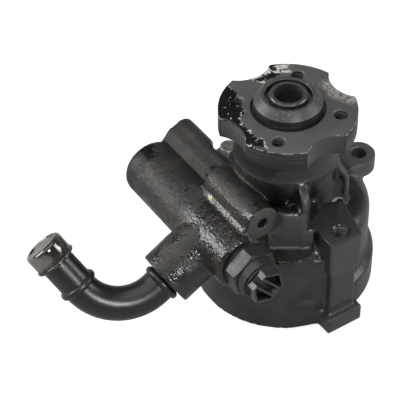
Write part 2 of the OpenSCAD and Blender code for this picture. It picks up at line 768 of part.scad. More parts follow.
module rotor() color("slategray") difference() {
    translate([0, 0, cam_low + side_gap]) cylinder(r = rotor_r, h = cam_h - 2 * side_gap);
    translate([0, 0, cam_low - 1]) linear_extrude(cam_h + 2) {
        spline_outline(press);
        for (i = [0:vane_count - 1]) vane_places(i) {
            translate([slot_inner_r, -vane_t / 2 - running]) square([rotor_r, vane_t + 2 * running]);
            translate([slot_inner_r, 0]) circle(r = slot_relief_r);
        }
    }
}

module vane(i) color("lightsteelblue") vane_places(i)
    translate([rotor_r - vane_in - vane_len, -vane_t / 2, cam_low + side_gap])
        cube([vane_len, vane_t, cam_h - 2 * side_gap]);

module rotor_circlip() color("dimgray") translate([0, 0, cam_low - side_gap - rotor_clip_t]) difference() {
    tube(tail_r + rotor_clip_out, tail_r - clip_groove + press, rotor_clip_t);
    translate([0, 0, -1]) wedge(-rotor_clip_mouth, rotor_clip_mouth, 4 * tail_r, rotor_clip_t + 2);
}

module pressure_plate() color("gray") difference() {
    translate([0, 0, pressure_low]) cylinder(r = bore_r, h = pressure_plate_t);
    translate([0, 0, pressure_low - 1]) cylinder(r = plate_hole_r, h = pressure_plate_t + 2);
    translate([0, 0, pressure_low - 1]) kidney_ports(pressure_plate_t + 2);
    translate([0, 0, pressure_low + pressure_plate_t / 2]) seal_groove();
    dowel_holes(pressure_low - 1, pressure_plate_t + 2);
}

// Square groove that holds a seal ring against the rear bore
module seal_groove() translate([0, 0, -oring_r]) tube(bore_r + 1, bore_r - 2 * oring_r + press, 2 * oring_r);
module bore_seal() torus(bore_r - oring_r + press, oring_r - press);

module pressure_plate_seal() color("#141414")
    translate([0, 0, pressure_low + pressure_plate_t / 2]) bore_seal();

module pressure_spring() color("silver") translate([0, 0, cover_in])
    coil(pressure_spring_r, pressure_wire, pressure_turns, spring_room);

module dowel_pins() color("silver") for (s = [-1, 1]) translate([0, s * dowel_reach, pressure_low + 1])
    cylinder(r = dowel_r, h = cavity_top + dowel_seat - pressure_low - 1);

module end_cover() color("#202022") difference() {
    union() {
        translate([0, 0, cover_inset]) cylinder(r = bore_r, h = cover_t);
        cylinder(r1 = cover_pad_r, r2 = cover_pad_r + cover_inset, h = cover_inset + eps);
        translate([0, 0, cover_in - eps]) cylinder(r = cover_boss_r, h = spring_room / 3);
    }
    translate([0, 0, cover_seal_z]) seal_groove();
    translate([0, 0, cover_inset]) torus(cover_groove_r, cover_t / 3);
}

module end_cover_seal() color("#141414") translate([0, 0, cover_seal_z]) bore_seal();

module end_cover_ring() color("dimgray") translate([0, 0, cover_inset - ring_wire_r]) rotate(ring_start)
    rotate_extrude(angle = ring_sweep) translate([bore_r, 0]) circle(r = ring_wire_r);

// Flow control valve

module flow_spool() color("lightgray") along_valve(spool_y) difference() {
    cylinder(r = spool_r, h = spool_len);
    translate([0, 0, spool_land_at]) tube(spool_r + 1, spool_r - spool_land_depth, spool_land_w);
    for (k = [1:3]) translate([0, 0, spool_land_at + spool_land_w + k * oil_groove_step])
        tube(spool_r + 1, spool_r - oil_groove_depth, oil_groove_w);
    translate([0, 0, -1]) cylinder(r = nose_hole_r, h = spool_land_at - 2);
    translate([0, 0, relief_at]) cylinder(r = relief_bore_r, h = spool_len);
}

module relief_seat() color("darkkhaki") along_valve(relief_seat_y) difference() {
    cylinder(r = relief_bore_r, h = relief_seat_len);
    translate([0, 0, -1]) cylinder(r = relief_hole_r, h = relief_seat_len + 2);
    translate([0, 0, relief_seat_len * 0.6]) cylinder(r = relief_ball_r, h = relief_seat_len, $fn = 6);
}

module relief_ball() color("gainsboro") along_valve(relief_ball_y) sphere(r = relief_ball_r);

module relief_spring() color("silver") along_valve(spool_y + relief_at)
    coil(relief_ball_r - relief_wire / 2, relief_wire, relief_turns, relief_spring_len);

module flow_spring() color("silver") along_valve(spool_end)
    coil(spool_bore_r - 1.5 * flow_wire, flow_wire, flow_turns, flow_spring_room);

// Outlet

module hex_rod(flats, h) rotate(-hex_turn) cylinder(r = flats / sqrt(3), h = h, $fn = 6);

module outlet_union() color("#242426") difference() {
    union() {
        along_valve(front_y) cylinder(r = union_thread_r, h = port_depth - 1);
        along_valve(union_face) cylinder(r = union_thread_r, h = washer_t + eps);
        intersection() {
            along_valve(union_hex_end) hex_rod(union_flats, union_hex_len);
            along_valve(union_hex_end) rotate_extrude() polygon([[0, 0], [union_flats / 2, 0],
                [union_flats / sqrt(3), hex_chamfer], [union_flats / sqrt(3), union_hex_len - hex_chamfer],
                [union_flats / 2, union_hex_len], [0, union_hex_len]]);
        }
        along_valve(union_end) cylinder(r = union_collar_r, h = union_collar_len + eps);
    }
    along_valve(union_end - 1) cylinder(r = outlet_r, h = union_collar_len + union_hex_len + 1);
    along_valve(union_end) cylinder(r = outlet_r - outlet_step, h = front_y + port_depth - union_end + 1);
}

module union_washer() color("#3a2c22") along_valve(union_face)
    tube(union_flats / 2 + washer_t / 2, union_thread_r + press, washer_t);

module outlet_plug() color("#111112") along_valve(union_end - plug_hex_len) difference() {
    union() {
        hex_rod(plug_flats, plug_hex_len - plug_lip);
        translate([0, 0, plug_hex_len - plug_lip - eps])
            cylinder(r = union_collar_r - plug_lip, h = plug_lip + eps);
        translate([0, 0, plug_hex_len - eps])
            cylinder(r = outlet_r - press, h = union_collar_len + plug_shank);
    }
    rotate(-plug_slot_turn) {
        translate([-plug_slot_stop, -plug_slot_w / 2, -1])
            cube([plug_slot_stop + plug_flats, plug_slot_w, plug_hex_len - 1]);
        intersection() {
            rotate(plug_slot_turn) translate([0, 0, -1]) hex_rod(plug_flats - 2 * plug_wall, plug_hex_len);
            for (s = [0, 180]) rotate(s) translate([-plug_flats, plug_slot_w / 2 + plug_wall, -1])
                cube([2 * plug_flats, plug_flats, plug_hex_len]);
        }
    }
}

// Suction pipe

module x_tube(from, to)
    translate([from, 0, 0]) rotate([0, 90, 0]) tube(pipe_r, pipe_r - pipe_wall, to - from);

module pipe_bend() translate([bend_start, 0, bend_r]) rotate([0, 90, 0]) rotate([90, 0, 0])
    rotate_extrude(angle = bend_angle) translate([bend_r, 0]) difference() {
        circle(r = pipe_r - bend_thin);
        circle(r = pipe_r - pipe_wall + bend_thin);
    }

module bead(at) translate([at, 0, 0]) rotate([0, 90, 0]) difference() {
    torus(pipe_r, bead_out);
    translate([0, 0, -bead_out - 1]) cylinder(r = pipe_r - pipe_wall / 2, h = 2 * bead_out + 2);
}

module suction_pipe() color("#19191a") {
    along_boss() rotate([pipe_roll, 0, 0]) {
        x_tube(boss_len - pipe_seat, bend_start + leg_lap);
        pipe_bend();
        bead(boss_len + stop_bead_at);
    }
    along_outer_leg() {
        x_tube(-leg_lap, leg_end);
        bead(hose_bead_at - bend_cut);
    }
}

module pipe_seal() color("#141414") along_boss() translate([boss_len - oring_r, 0, 0]) rotate([0, 90, 0])
    torus(pipe_r + oring_r, oring_r - press);

module pipe_cap() color("#131314") along_outer_leg()
    translate([leg_end - cap_len + cap_wall, 0, 0]) rotate([0, 90, 0]) rotate_extrude() {
        inner = pipe_r + press;
        outer = inner + cap_wall;
        dish = cap_wall / 2;
        polygon(concat([[inner, 0], [outer, 0]],
            arc([outer - cap_round, cap_len - cap_round], cap_round, 0, 90),
            [[outer - cap_round - dish, cap_len], [outer - cap_round - 2 * dish, cap_len - dish],
             [0, cap_len - dish], [0, cap_len - cap_wall], [inner, cap_len - cap_wall]]));
        translate([outer - dish / 4, dish]) circle(r = dish);
    }

// Small closures and fasteners

module passage_plug() color("#3c3c3e") along_passage(passage_hole_r) difference() {
    cylinder(r = passage_hole_r - press, h = 2 * passage_hole_r);
    translate([0, 0, -1]) cylinder(r = passage_hole_r / 2, h = passage_hole_r + 1, $fn = 6);
}

module flange_bolt() color("#b9b5ae") at_lug() {
    head_top = flange_t + bolt_head_h;
    translate([0, 0, -bolt_len]) cylinder(r = bolt_r, h = bolt_len + eps);
    cylinder(r1 = bolt_flange_r, r2 = bolt_flange_r - flange_slope, h = flange_t);
    intersection() {
        rotate(bolt_turn) cylinder(r = bolt_flats / sqrt(3), h = head_top, $fn = 6);
        cylinder(r1 = bolt_flats / 2 + head_top, r2 = bolt_flats / 2, h = head_top);
    }
}

pump_housing();
drive_hub();
drive_shaft();
shaft_seal();
bearing_outer_race();
bearing_inner_race();
bearing_balls();
bearing_cage();
bearing_circlip();
shaft_bush();
thrust_plate();
cam_ring();
rotor();
rotor_circlip();
pressure_plate();
pressure_plate_seal();
pressure_spring();
dowel_pins();
end_cover();
end_cover_seal();
end_cover_ring();
flow_spool();
flow_spring();
relief_ball();
relief_spring();
relief_seat();
outlet_union();
union_washer();
outlet_plug();
suction_pipe();
pipe_seal();
pipe_cap();
passage_plug();
flange_bolt();
for (i = [0:vane_count - 1]) vane(i);
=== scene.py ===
"""Looks of a vane-type power steering pump: painted casting, scalloped hub, bent suction pipe.

Sizes and places are in millimetres, in the part's own frame. Meshes are scaled to metres as they
are made.
"""
import json
import math

import bmesh
import bpy
import numpy as np
from mathutils import Matrix, Vector, noise

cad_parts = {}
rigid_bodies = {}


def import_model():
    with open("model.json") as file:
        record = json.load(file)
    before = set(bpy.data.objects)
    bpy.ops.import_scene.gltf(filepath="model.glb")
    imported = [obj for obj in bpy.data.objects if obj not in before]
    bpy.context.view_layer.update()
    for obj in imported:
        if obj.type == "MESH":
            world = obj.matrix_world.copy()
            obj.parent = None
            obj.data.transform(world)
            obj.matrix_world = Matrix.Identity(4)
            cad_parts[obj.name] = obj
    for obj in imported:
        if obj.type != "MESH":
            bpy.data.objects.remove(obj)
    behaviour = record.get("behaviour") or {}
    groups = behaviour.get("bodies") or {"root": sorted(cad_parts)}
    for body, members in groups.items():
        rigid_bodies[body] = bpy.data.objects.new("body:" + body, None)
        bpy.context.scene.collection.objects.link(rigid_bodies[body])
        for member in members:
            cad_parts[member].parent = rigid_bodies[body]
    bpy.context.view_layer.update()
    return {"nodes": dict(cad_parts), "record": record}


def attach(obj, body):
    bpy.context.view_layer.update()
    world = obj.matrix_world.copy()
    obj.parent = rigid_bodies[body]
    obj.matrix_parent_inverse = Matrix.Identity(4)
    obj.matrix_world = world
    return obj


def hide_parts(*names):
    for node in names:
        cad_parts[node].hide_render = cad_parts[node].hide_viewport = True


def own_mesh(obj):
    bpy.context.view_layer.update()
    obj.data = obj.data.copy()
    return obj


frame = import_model()
NODES = frame["nodes"]
MM = 0.001

# Sizes and places that the part's source also holds or works out
COLLAR_R = 48.0
NECK_R = 26.6
NECK_FOOT = 84.0
NECK_TOP = 97.8
MOUNT_Z = 61.0
REAR_BORE_R = 40.02
REAR_BORE_TOP = 41.0
SHAFT_BORE_R = 11.06
SEAL_BORE_R = 16.02
SEAL_LOW = 74.9
LEDGE_R = 17.8
LEDGE_LOW = 81.9
BEARING_BORE_R = 21.02
BEARING_LOW = 83.5
EAR_REACH = 45.3
EAR_ANGLE = -4.0
EAR_SPOT_R = 16.0
EAR_HOLE_R = 4.2
EAR_T = 10.3
PAD_ANGLE = -123.0
PAD_REACH = 37.2
PAD_W = 24.5
PAD_TOP = 72.5
POST_REACH = 46.0
POST_ANGLE = -88.0
POST_HOLE_R = 4.25
POST_HOLE_DEPTH = 20.0
MILL_REACH = 58.0
MILL_ANGLE = -82.0
MILL_R = 30.0
LUG_REACH = 36.0
LUG_ANGLE = 111.0
LUG_SPOT_R = 8.9
BOLT_HOLE_R = 3.02
BOLT_HOLE_DEPTH = 19.0
VALVE_X = -45.8
VALVE_Z = 50.5
VALVE_R = 15.8
VALVE_FRONT = -29.2
PORT_R = 9.0
PORT_END = -16.2
SPOOL_BORE_R = 8.0
SPOOL_BORE_END = 36.1
PASSAGE_X = -32.8
PASSAGE_Z = 68.8
PASSAGE_R = 9.3
PASSAGE_FACE = -26.0
PASSAGE_HOLE_R = 3.0
PASSAGE_HOLE_DEPTH = 46.0
BOSS_Y = -1.8
BOSS_DIP = 28.8
BOSS_R = 15.4
BOSS_LEN = 35.0
BOSS_BORE_R = 7.5
PIPE_R = 9.0
PIPE_WALL = 1.5
PIPE_ROOM = 0.02
PIPE_SEAT = 12.0
PIPE_LEG = 34.5
PIPE_OUT = 56.0
PIPE_ROLL = 36.0
BEND_R = 27.0
BEND_ANGLE = 91.5
BEAD_OUT = 1.6
STOP_BEAD_AT = 2.4
HOSE_BEAD_AT = 29.5
CAP_LEN = 11.5
CAP_WALL = 1.6
SEAL_SEAT_R = 11.8
SEAL_SEAT_DEPTH = 2.8
HUB_R = 35.2
HUB_LOW = 99.0
HUB_TOP = 111.0
HUB_TURN = -1.0
HUB_HOLE_REACH = 26.5
HUB_HOLE_R = 3.4
SCALLOP_R = 17.0
SCALLOP_DEPTH_R = 28.9
PILOT_R = 17.5
PILOT_WALL_TOP = 116.0
PILOT_TOP = 119.5
PILOT_TIP_R = 13.7
GROOVE_W = 1.5
GROOVE_DEPTH = 1.2
RECESS_R = 12.0
RECESS_DEPTH = 4.0
SHAFT_HUB_R = 9.7
HUB_SLEEVE_R = 11.6
HUB_SLEEVE_LOW = 95.5

# The threads' pitches and how far they stop short of the hole's ends, and the holes' chamfers
POST_PITCH = 1.5
HUB_PITCH = 1.25
THREAD_FOOT = 1.0
THREAD_MOUTH = 1.2
PORT_CHAMFER = 1.0
POST_CHAMFER = 0.8
EAR_CHAMFER = 0.6
HUB_HOLE_CHAMFER = 0.7
DRILLING_CHAMFER = 0.4

# The casting's rounding: its bores are filled, its skin is remeshed and smoothed, and the bores are
# cut again
FILL_LAP = 0.5
FILL_END = 1.0
VOXEL = 0.8
SMOOTH_FACTOR = 0.5
SMOOTH_PASSES = 7
SKIM = 0.1

# The ribs round the neck as (angle, reach), and the rods beside them as (swing, inset, radius)
RIBS = [(-109, 38.5), (-52, 33.5), (60, 36)]
RIB_FILLETS = [(7, 6.5, 2.6), (11, 8.5, 2.6)]
RIB_LOW = 57.0
RIB_TOP = 78.0
RIB_T = 5.0

# Where the ribs are rounded more than the rest: outside and inside edges of the range
RIB_PASSES = 34
MELT_X = -21
MELT_Z = (56, 60)
MELT_RADIUS = (43, 41)

# Forms that the photograph shows: the skirt's bulge as (angle, reach), the step that ends beside
# it, and the crease along the passage as (x, z)
SKIRT_RIDGE = (-101, 35.6)
SKIRT_RIDGE_R = 12.0
SKIRT_RIDGE_TOP = 46.5
SKIRT_STEP = (-20, -43, 18.5)
CREASE = (-41.4, 65.5)
CREASE_R = 3.0
CREASE_LEN = 42.0

# The gallery's uneven skin: where it sets in and is full, and its lumps
GALLERY_X = (-19, -27)
GALLERY_Z = (40, 47)
LUMP_WAVE = 2.4
LUMP_SWING = 0.12
LUMPS_ELSEWHERE = 0.25

# The ground spot on top of the gallery and the dab of yellow paint
FLAT_SPOT = (-48.1, 14.2)
FLAT_SPOT_LEAN = -8.7
FLAT_SPOT_R = 5.4
FLAT_SPOT_CUT = 0.45
PAINT_DAB = (-42.4, 5.6, 67.0)
PAINT_DAB_R = 1.7

# The hub's thick gloss coat: the radius that it reaches in to, by angle
GLOSS_EDGE = [(0, 40), (57, 40), (63, 26), (74, 24.2), (89, 23), (96, 29), (100, 40), (114, 40),
              (118, 31), (125, 26.7), (142, 23), (156, 22.8), (171, 26.6), (183, 26), (196, 27.5),
              (204, 29), (208, 27.6), (216, 33), (220, 40), (360, 40)]
GLOSS_FAR = 40.0
# The hub's scuffs as (place, radius), and where its coat has come off, in degrees and in radius
SCUFFS = [((28.5, -4.5, HUB_TOP), 6.0), ((31, -11, HUB_TOP), 5.5), ((27, 3, HUB_TOP), 3.5)]
BARE_SWEEP = (52, 92)
BARE_REACH = (27.5, 34.2)
# The direction in which the turned neck is lighter grey; round the rest of it, it is black
NECK_LIGHT_SIDE = -49

PITCH_BLACK = (0.004, 0.004, 0.004)
# Paint, plastic and rubber: dark and light colour, least and most roughness, depth of the grain,
# and its fineness where it isn't the usual one
SATINS = {
    "tube_paint": ((0.010, 0.010, 0.010), (0.016, 0.0155, 0.015), 0.28, 0.36, 0.03),
    "plug_gloss": ((0.024, 0.024, 0.024), (0.034, 0.034, 0.034), 0.26, 0.36, 0.02),
    "black_oxide": ((0.016, 0.016, 0.016), (0.030, 0.029, 0.029), 0.34, 0.46, 0.02, 1.4),
    "cover_paint": ((0.012, 0.012, 0.012), (0.022, 0.021, 0.02), 0.32, 0.46, 0.06),
    "rubber": ((0.010, 0.010, 0.010), (0.016, 0.016, 0.016), 0.55, 0.7, 0.02),
}
# Metals: colour, roughness, and how metallic where it isn't the usual share
METALS = {
    "dark_steel": ((0.06, 0.058, 0.056), 0.34, 0.5),
    "shaft_steel": ((0.13, 0.126, 0.122), 0.32, 0.6),
    "thread_steel": ((0.09, 0.087, 0.084), 0.36, 0.6),
    "bright_steel": ((0.55, 0.55, 0.54), 0.24),
    "sintered_steel": ((0.28, 0.28, 0.29), 0.42),
    "bronze": ((0.55, 0.36, 0.18), 0.36),
    "spring_steel": ((0.30, 0.30, 0.31), 0.30),
}
# The nodes that keep their own solids, by finish
DRESSED = {
    "zinc_plate": ["flange_bolt"],
    "black_oxide": ["outlet_union", "union_washer", "passage_plug"],
    "plug_gloss": ["outlet_plug"],
    "shaft_steel": ["drive_shaft"],
    "dark_steel": ["end_cover_ring", "bearing_circlip", "rotor_circlip"],
    "cover_paint": ["end_cover"],
    "rubber": ["shaft_seal", "pressure_plate_seal", "end_cover_seal", "pipe_seal"],
    "bronze": ["shaft_bush", "bearing_cage", "relief_seat"],
    "sintered_steel": ["thrust_plate", "cam_ring", "rotor", "pressure_plate"],
    "spring_steel": ["pressure_spring"],
    "bright_steel": ["bearing_outer_race", "bearing_inner_race", "bearing_balls", "dowel_pins",
                     "flow_spool", "relief_ball"] + [f"vane_{i:02d}" for i in range(1, 11)],
}
BEVELS = {"flange_bolt": 0.3, "outlet_union": 0.25, "outlet_plug": 0.2}

LAMP_COLOUR = (1.0, 0.975, 0.95)
# Each lamp's azimuth, height, distance, width, tallness and brightness, in degrees and metres
LAMPS = {
    "left_box": (141, 23, 0.8, 0.46, 0.30, 10.0),
    "top_box": (165, 72, 0.9, 1.1, 1.1, 1.5),
    "right_box": (-35, 22, 1.0, 0.4, 0.5, 6.0),
    "fill_box": (-100, 12, 1.3, 0.9, 0.5, 1.6),
    "front_box": (-98, 33, 0.8, 0.16, 0.12, 70.0),
}


def turn(angle, axis):
    """A rotation by degrees."""
    return Matrix.Rotation(math.radians(angle), 4, axis)


def at(x, y, z):
    return Matrix.Translation((x, y, z))


def inward(x, y, z):
    """A place with local +Z along the valve's axis, away from the front."""
    return at(x, y, z) @ turn(-90, "X")


def round_shaft(angle, reach, z):
    """A place on a circle about the shaft."""
    return turn(angle, "Z") @ at(reach, 0, z)


POST_HOLE = round_shaft(POST_ANGLE, POST_REACH, MOUNT_Z)
EAR = round_shaft(EAR_ANGLE, EAR_REACH, MOUNT_Z)
LUG = round_shaft(LUG_ANGLE, LUG_REACH, MOUNT_Z)
VALVE = inward(VALVE_X, VALVE_FRONT, VALVE_Z)
PASSAGE = inward(PASSAGE_X, PASSAGE_FACE, PASSAGE_Z)
BOSS = at(VALVE_X, BOSS_Y, VALVE_Z) @ turn(180, "Z") @ turn(BOSS_DIP, "Y")
OUT_OF_BOSS = BOSS @ turn(90, "Y")
BEND_CUT = BEND_R * math.tan(math.radians(BEND_ANGLE / 2))
BEND_START = BOSS_LEN + PIPE_LEG - BEND_CUT
BEND_LEN = math.radians(BEND_ANGLE) * BEND_R
LEG_END = PIPE_OUT - BEND_CUT
PIPE = BOSS @ turn(PIPE_ROLL, "X")
OUTER_LEG = PIPE @ at(BEND_START, 0, BEND_R) @ turn(-BEND_ANGLE, "Y") @ at(0, 0, -BEND_R)


# Mesh tools

def add_object(name, mesh):
    obj = bpy.data.objects.new(name, mesh)
    bpy.context.scene.collection.objects.link(obj)
    return obj


def from_rings(name, rings, place=Matrix(), looped=False):
    """A closed solid through rings of points, with its ends capped, or joined if looped."""
    count = len(rings[0])
    points = [(place @ Vector(p)) * MM for ring in rings for p in ring]
    spans = len(rings) if looped else len(rings) - 1
    faces = []
    for i in range(spans):
        low = i * count
        high = (i + 1) % len(rings) * count
        for k in range(count):
            n = (k + 1) % count
            faces.append((low + k, low + n, high + n, high + k))
    if not looped:
        faces.append(tuple(range(count)))
        faces.append(tuple((len(rings) - 1) * count + k for k in range(count)))
    mesh = bpy.data.meshes.new(name)
    mesh.from_pydata(points, [], faces)
    shape = bmesh.new()
    shape.from_mesh(mesh)
    bmesh.ops.recalc_face_normals(shape, faces=shape.faces)
    shape.to_mesh(mesh)
    shape.free()
    return add_object(name, mesh)


def circle(r, z, steps):
    angles = np.linspace(0, math.tau, steps, endpoint=False)
    return [(r * math.cos(a), r * math.sin(a), z) for a in angles]


def lathe(name, profile, place=Matrix(), steps=96, looped=False):
    """Revolves (radius, height) points about local Z."""
    return from_rings(name, [circle(r, z, steps) for r, z in profile], place, looped)


def rod(name, r, low, high, place=Matrix(), steps=64):
    return lathe(name, [(r, low), (r, high)], place, steps)


def arc(centre, r, start, end, steps):
    angles = np.radians(np.linspace(start, end, steps + 1))
    return [(centre[0] + r * math.cos(a), centre[1] + r * math.sin(a)) for a in angles]


def bake(obj):
    """Applies the object's modifiers."""
    graph = bpy.context.evaluated_depsgraph_get()
    mesh = bpy.data.meshes.new_from_object(obj.evaluated_get(graph))
    obj.modifiers.clear()
    obj.data = mesh


def combine(obj, tools, operation):
    """Joins the tools to the object, or cuts them from it."""
    for tool in tools:
        step = obj.modifiers.new(tool.name, "BOOLEAN")
        step.operation = operation
        step.solver = "MANIFOLD"
        step.object = tool
    bake(obj)
    for tool in tools:
        bpy.data.objects.remove(tool)


def shade(obj, sharp=32):
    """Smooth shading with edges sharper than an angle kept."""
    obj.data.polygons.foreach_set("use_smooth", [True] * len(obj.data.polygons))
    obj.data.set_sharp_from_angle(angle=math.radians(sharp))


def finish_piece(obj, body, material):
    obj.data.materials.clear()
    obj.data.materials.append(material)
    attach(obj, body)


# Material tools

class Graph:
    """Builds one material, with places read in millimetres."""

    def __init__(self, name):
        self.material = bpy.data.materials.new(name)
        self.material.use_nodes = True
        self.tree = self.material.node_tree
        self.shader = self.tree.nodes["Principled BSDF"]
        coords = self.add("ShaderNodeTexCoord").outputs["Object"]
        scaled = self.add("ShaderNodeVectorMath", {0: coords, "Scale": 1 / MM}, operation="SCALE")
        self.place = scaled.outputs[0]
        split = self.add("ShaderNodeSeparateXYZ", {0: self.place})
        self.x = split.outputs[0]
        self.y = split.outputs[1]
        self.z = split.outputs[2]

    def upward(self):
        """The upright share of the surface's direction."""
        way = self.add("ShaderNodeTexCoord").outputs["Normal"]
        return self.add("ShaderNodeSeparateXYZ", {0: way}).outputs[2]

    def radius(self):
        """Distance from the shaft's axis."""
        return self.math("SQRT", self.plus(self.times(self.x, self.x), self.times(self.y, self.y)))

    def reach(self, angle):
        """Distance from the shaft in a direction."""
        a = math.radians(angle)
        return self.plus(self.times(self.x, math.cos(a)), self.times(self.y, math.sin(a)))

    def within(self, value, low, high, soft):
        """1 between low and high, 0 outside them."""
        past_low = self.fade(value, low - soft, low + soft)
        return self.times(past_low, self.fade(value, high + soft, high - soft))

    def inverse(self, value):
        return self.math("SUBTRACT", 1.0, value)

    def add(self, kind, inputs=None, **settings):
        node = self.tree.nodes.new(kind)
        for key, value in settings.items():
            setattr(node, key, value)
        for key, value in (inputs or {}).items():
            self.put(node.inputs[key], value)
        return node

    def put(self, socket, value):
        if isinstance(value, bpy.types.NodeSocket):
            self.tree.links.new(value, socket)
        else:
            socket.default_value = value

    def math(self, operation, *values):
        return self.add("ShaderNodeMath", dict(enumerate(values)), operation=operation).outputs[0]

    def noise(self, scale, detail=3.0, rough=0.55, stretch=(1, 1, 1)):
        place = self.add("ShaderNodeMapping", {"Vector": self.place, "Scale": stretch}).outputs[0]
        inputs = {"Vector": place, "Scale": scale, "Detail": detail, "Roughness": rough}
        return self.add("ShaderNodeTexNoise", inputs).outputs[0]

    def fade(self, value, low, high):
        """0 at low, 1 at high, smooth between."""
        inputs = {0: value, 1: low, 2: high}
        return self.add("ShaderNodeMapRange", inputs, interpolation_type="SMOOTHSTEP").outputs[0]

    def span(self, value, low, high, to_low, to_high):
        """to_low at low, to_high at high, straight between."""
        inputs = {0: value, 1: low, 2: high, 3: to_low, 4: to_high}
        return self.add("ShaderNodeMapRange", inputs).outputs[0]

    def fold(self, operation, values):
        result = values[0]
        for value in values[1:]:
            result = self.math(operation, result, value)
        return result

    def times(self, *values):
        return self.fold("MULTIPLY", values)

    def plus(self, *values):
        return self.fold("ADD", values)

    def either(self, *values):
        return self.fold("MAXIMUM", values)

    def mix(self, factor, a, b):
        return self.add("ShaderNodeMix", {0: factor, 2: a, 3: b}, data_type="FLOAT").outputs[0]

    def tint(self, factor, a, b):
        a, b = [c if isinstance(c, bpy.types.NodeSocket) else (*c, 1) for c in (a, b)]
        return self.add("ShaderNodeMix", {0: factor, 6: a, 7: b}, data_type="RGBA").outputs[2]

    def layers(self, blend, ground, coats):
        """Lays each (mask, coat) over the ground in turn: tint is for colours, mix for numbers."""
        for mask, coat in coats:
            ground = blend(mask, ground, coat)
        return ground

    def near(self, point, reach, soft):
        """1 within reach of a point, 0 past it."""
        gap = self.add("ShaderNodeVectorMath", {0: self.place, 1: point}, operation="DISTANCE")
        return self.fade(gap.outputs["Value"], reach + soft, reach - soft)

    def finish(self, colour, rough, height, depth, metal=0.0):
        """Links the surface up, with the height as a bump of a depth."""
        bump = self.add("ShaderNodeBump", {"Height": height, "Distance": depth * MM})
        self.put(self.shader.inputs["Base Color"], colour)
        self.put(self.shader.inputs["Roughness"], rough)
        self.put(self.shader.inputs["Metallic"], metal)
        self.put(self.shader.inputs["Normal"], bump.outputs[0])
        return self.material


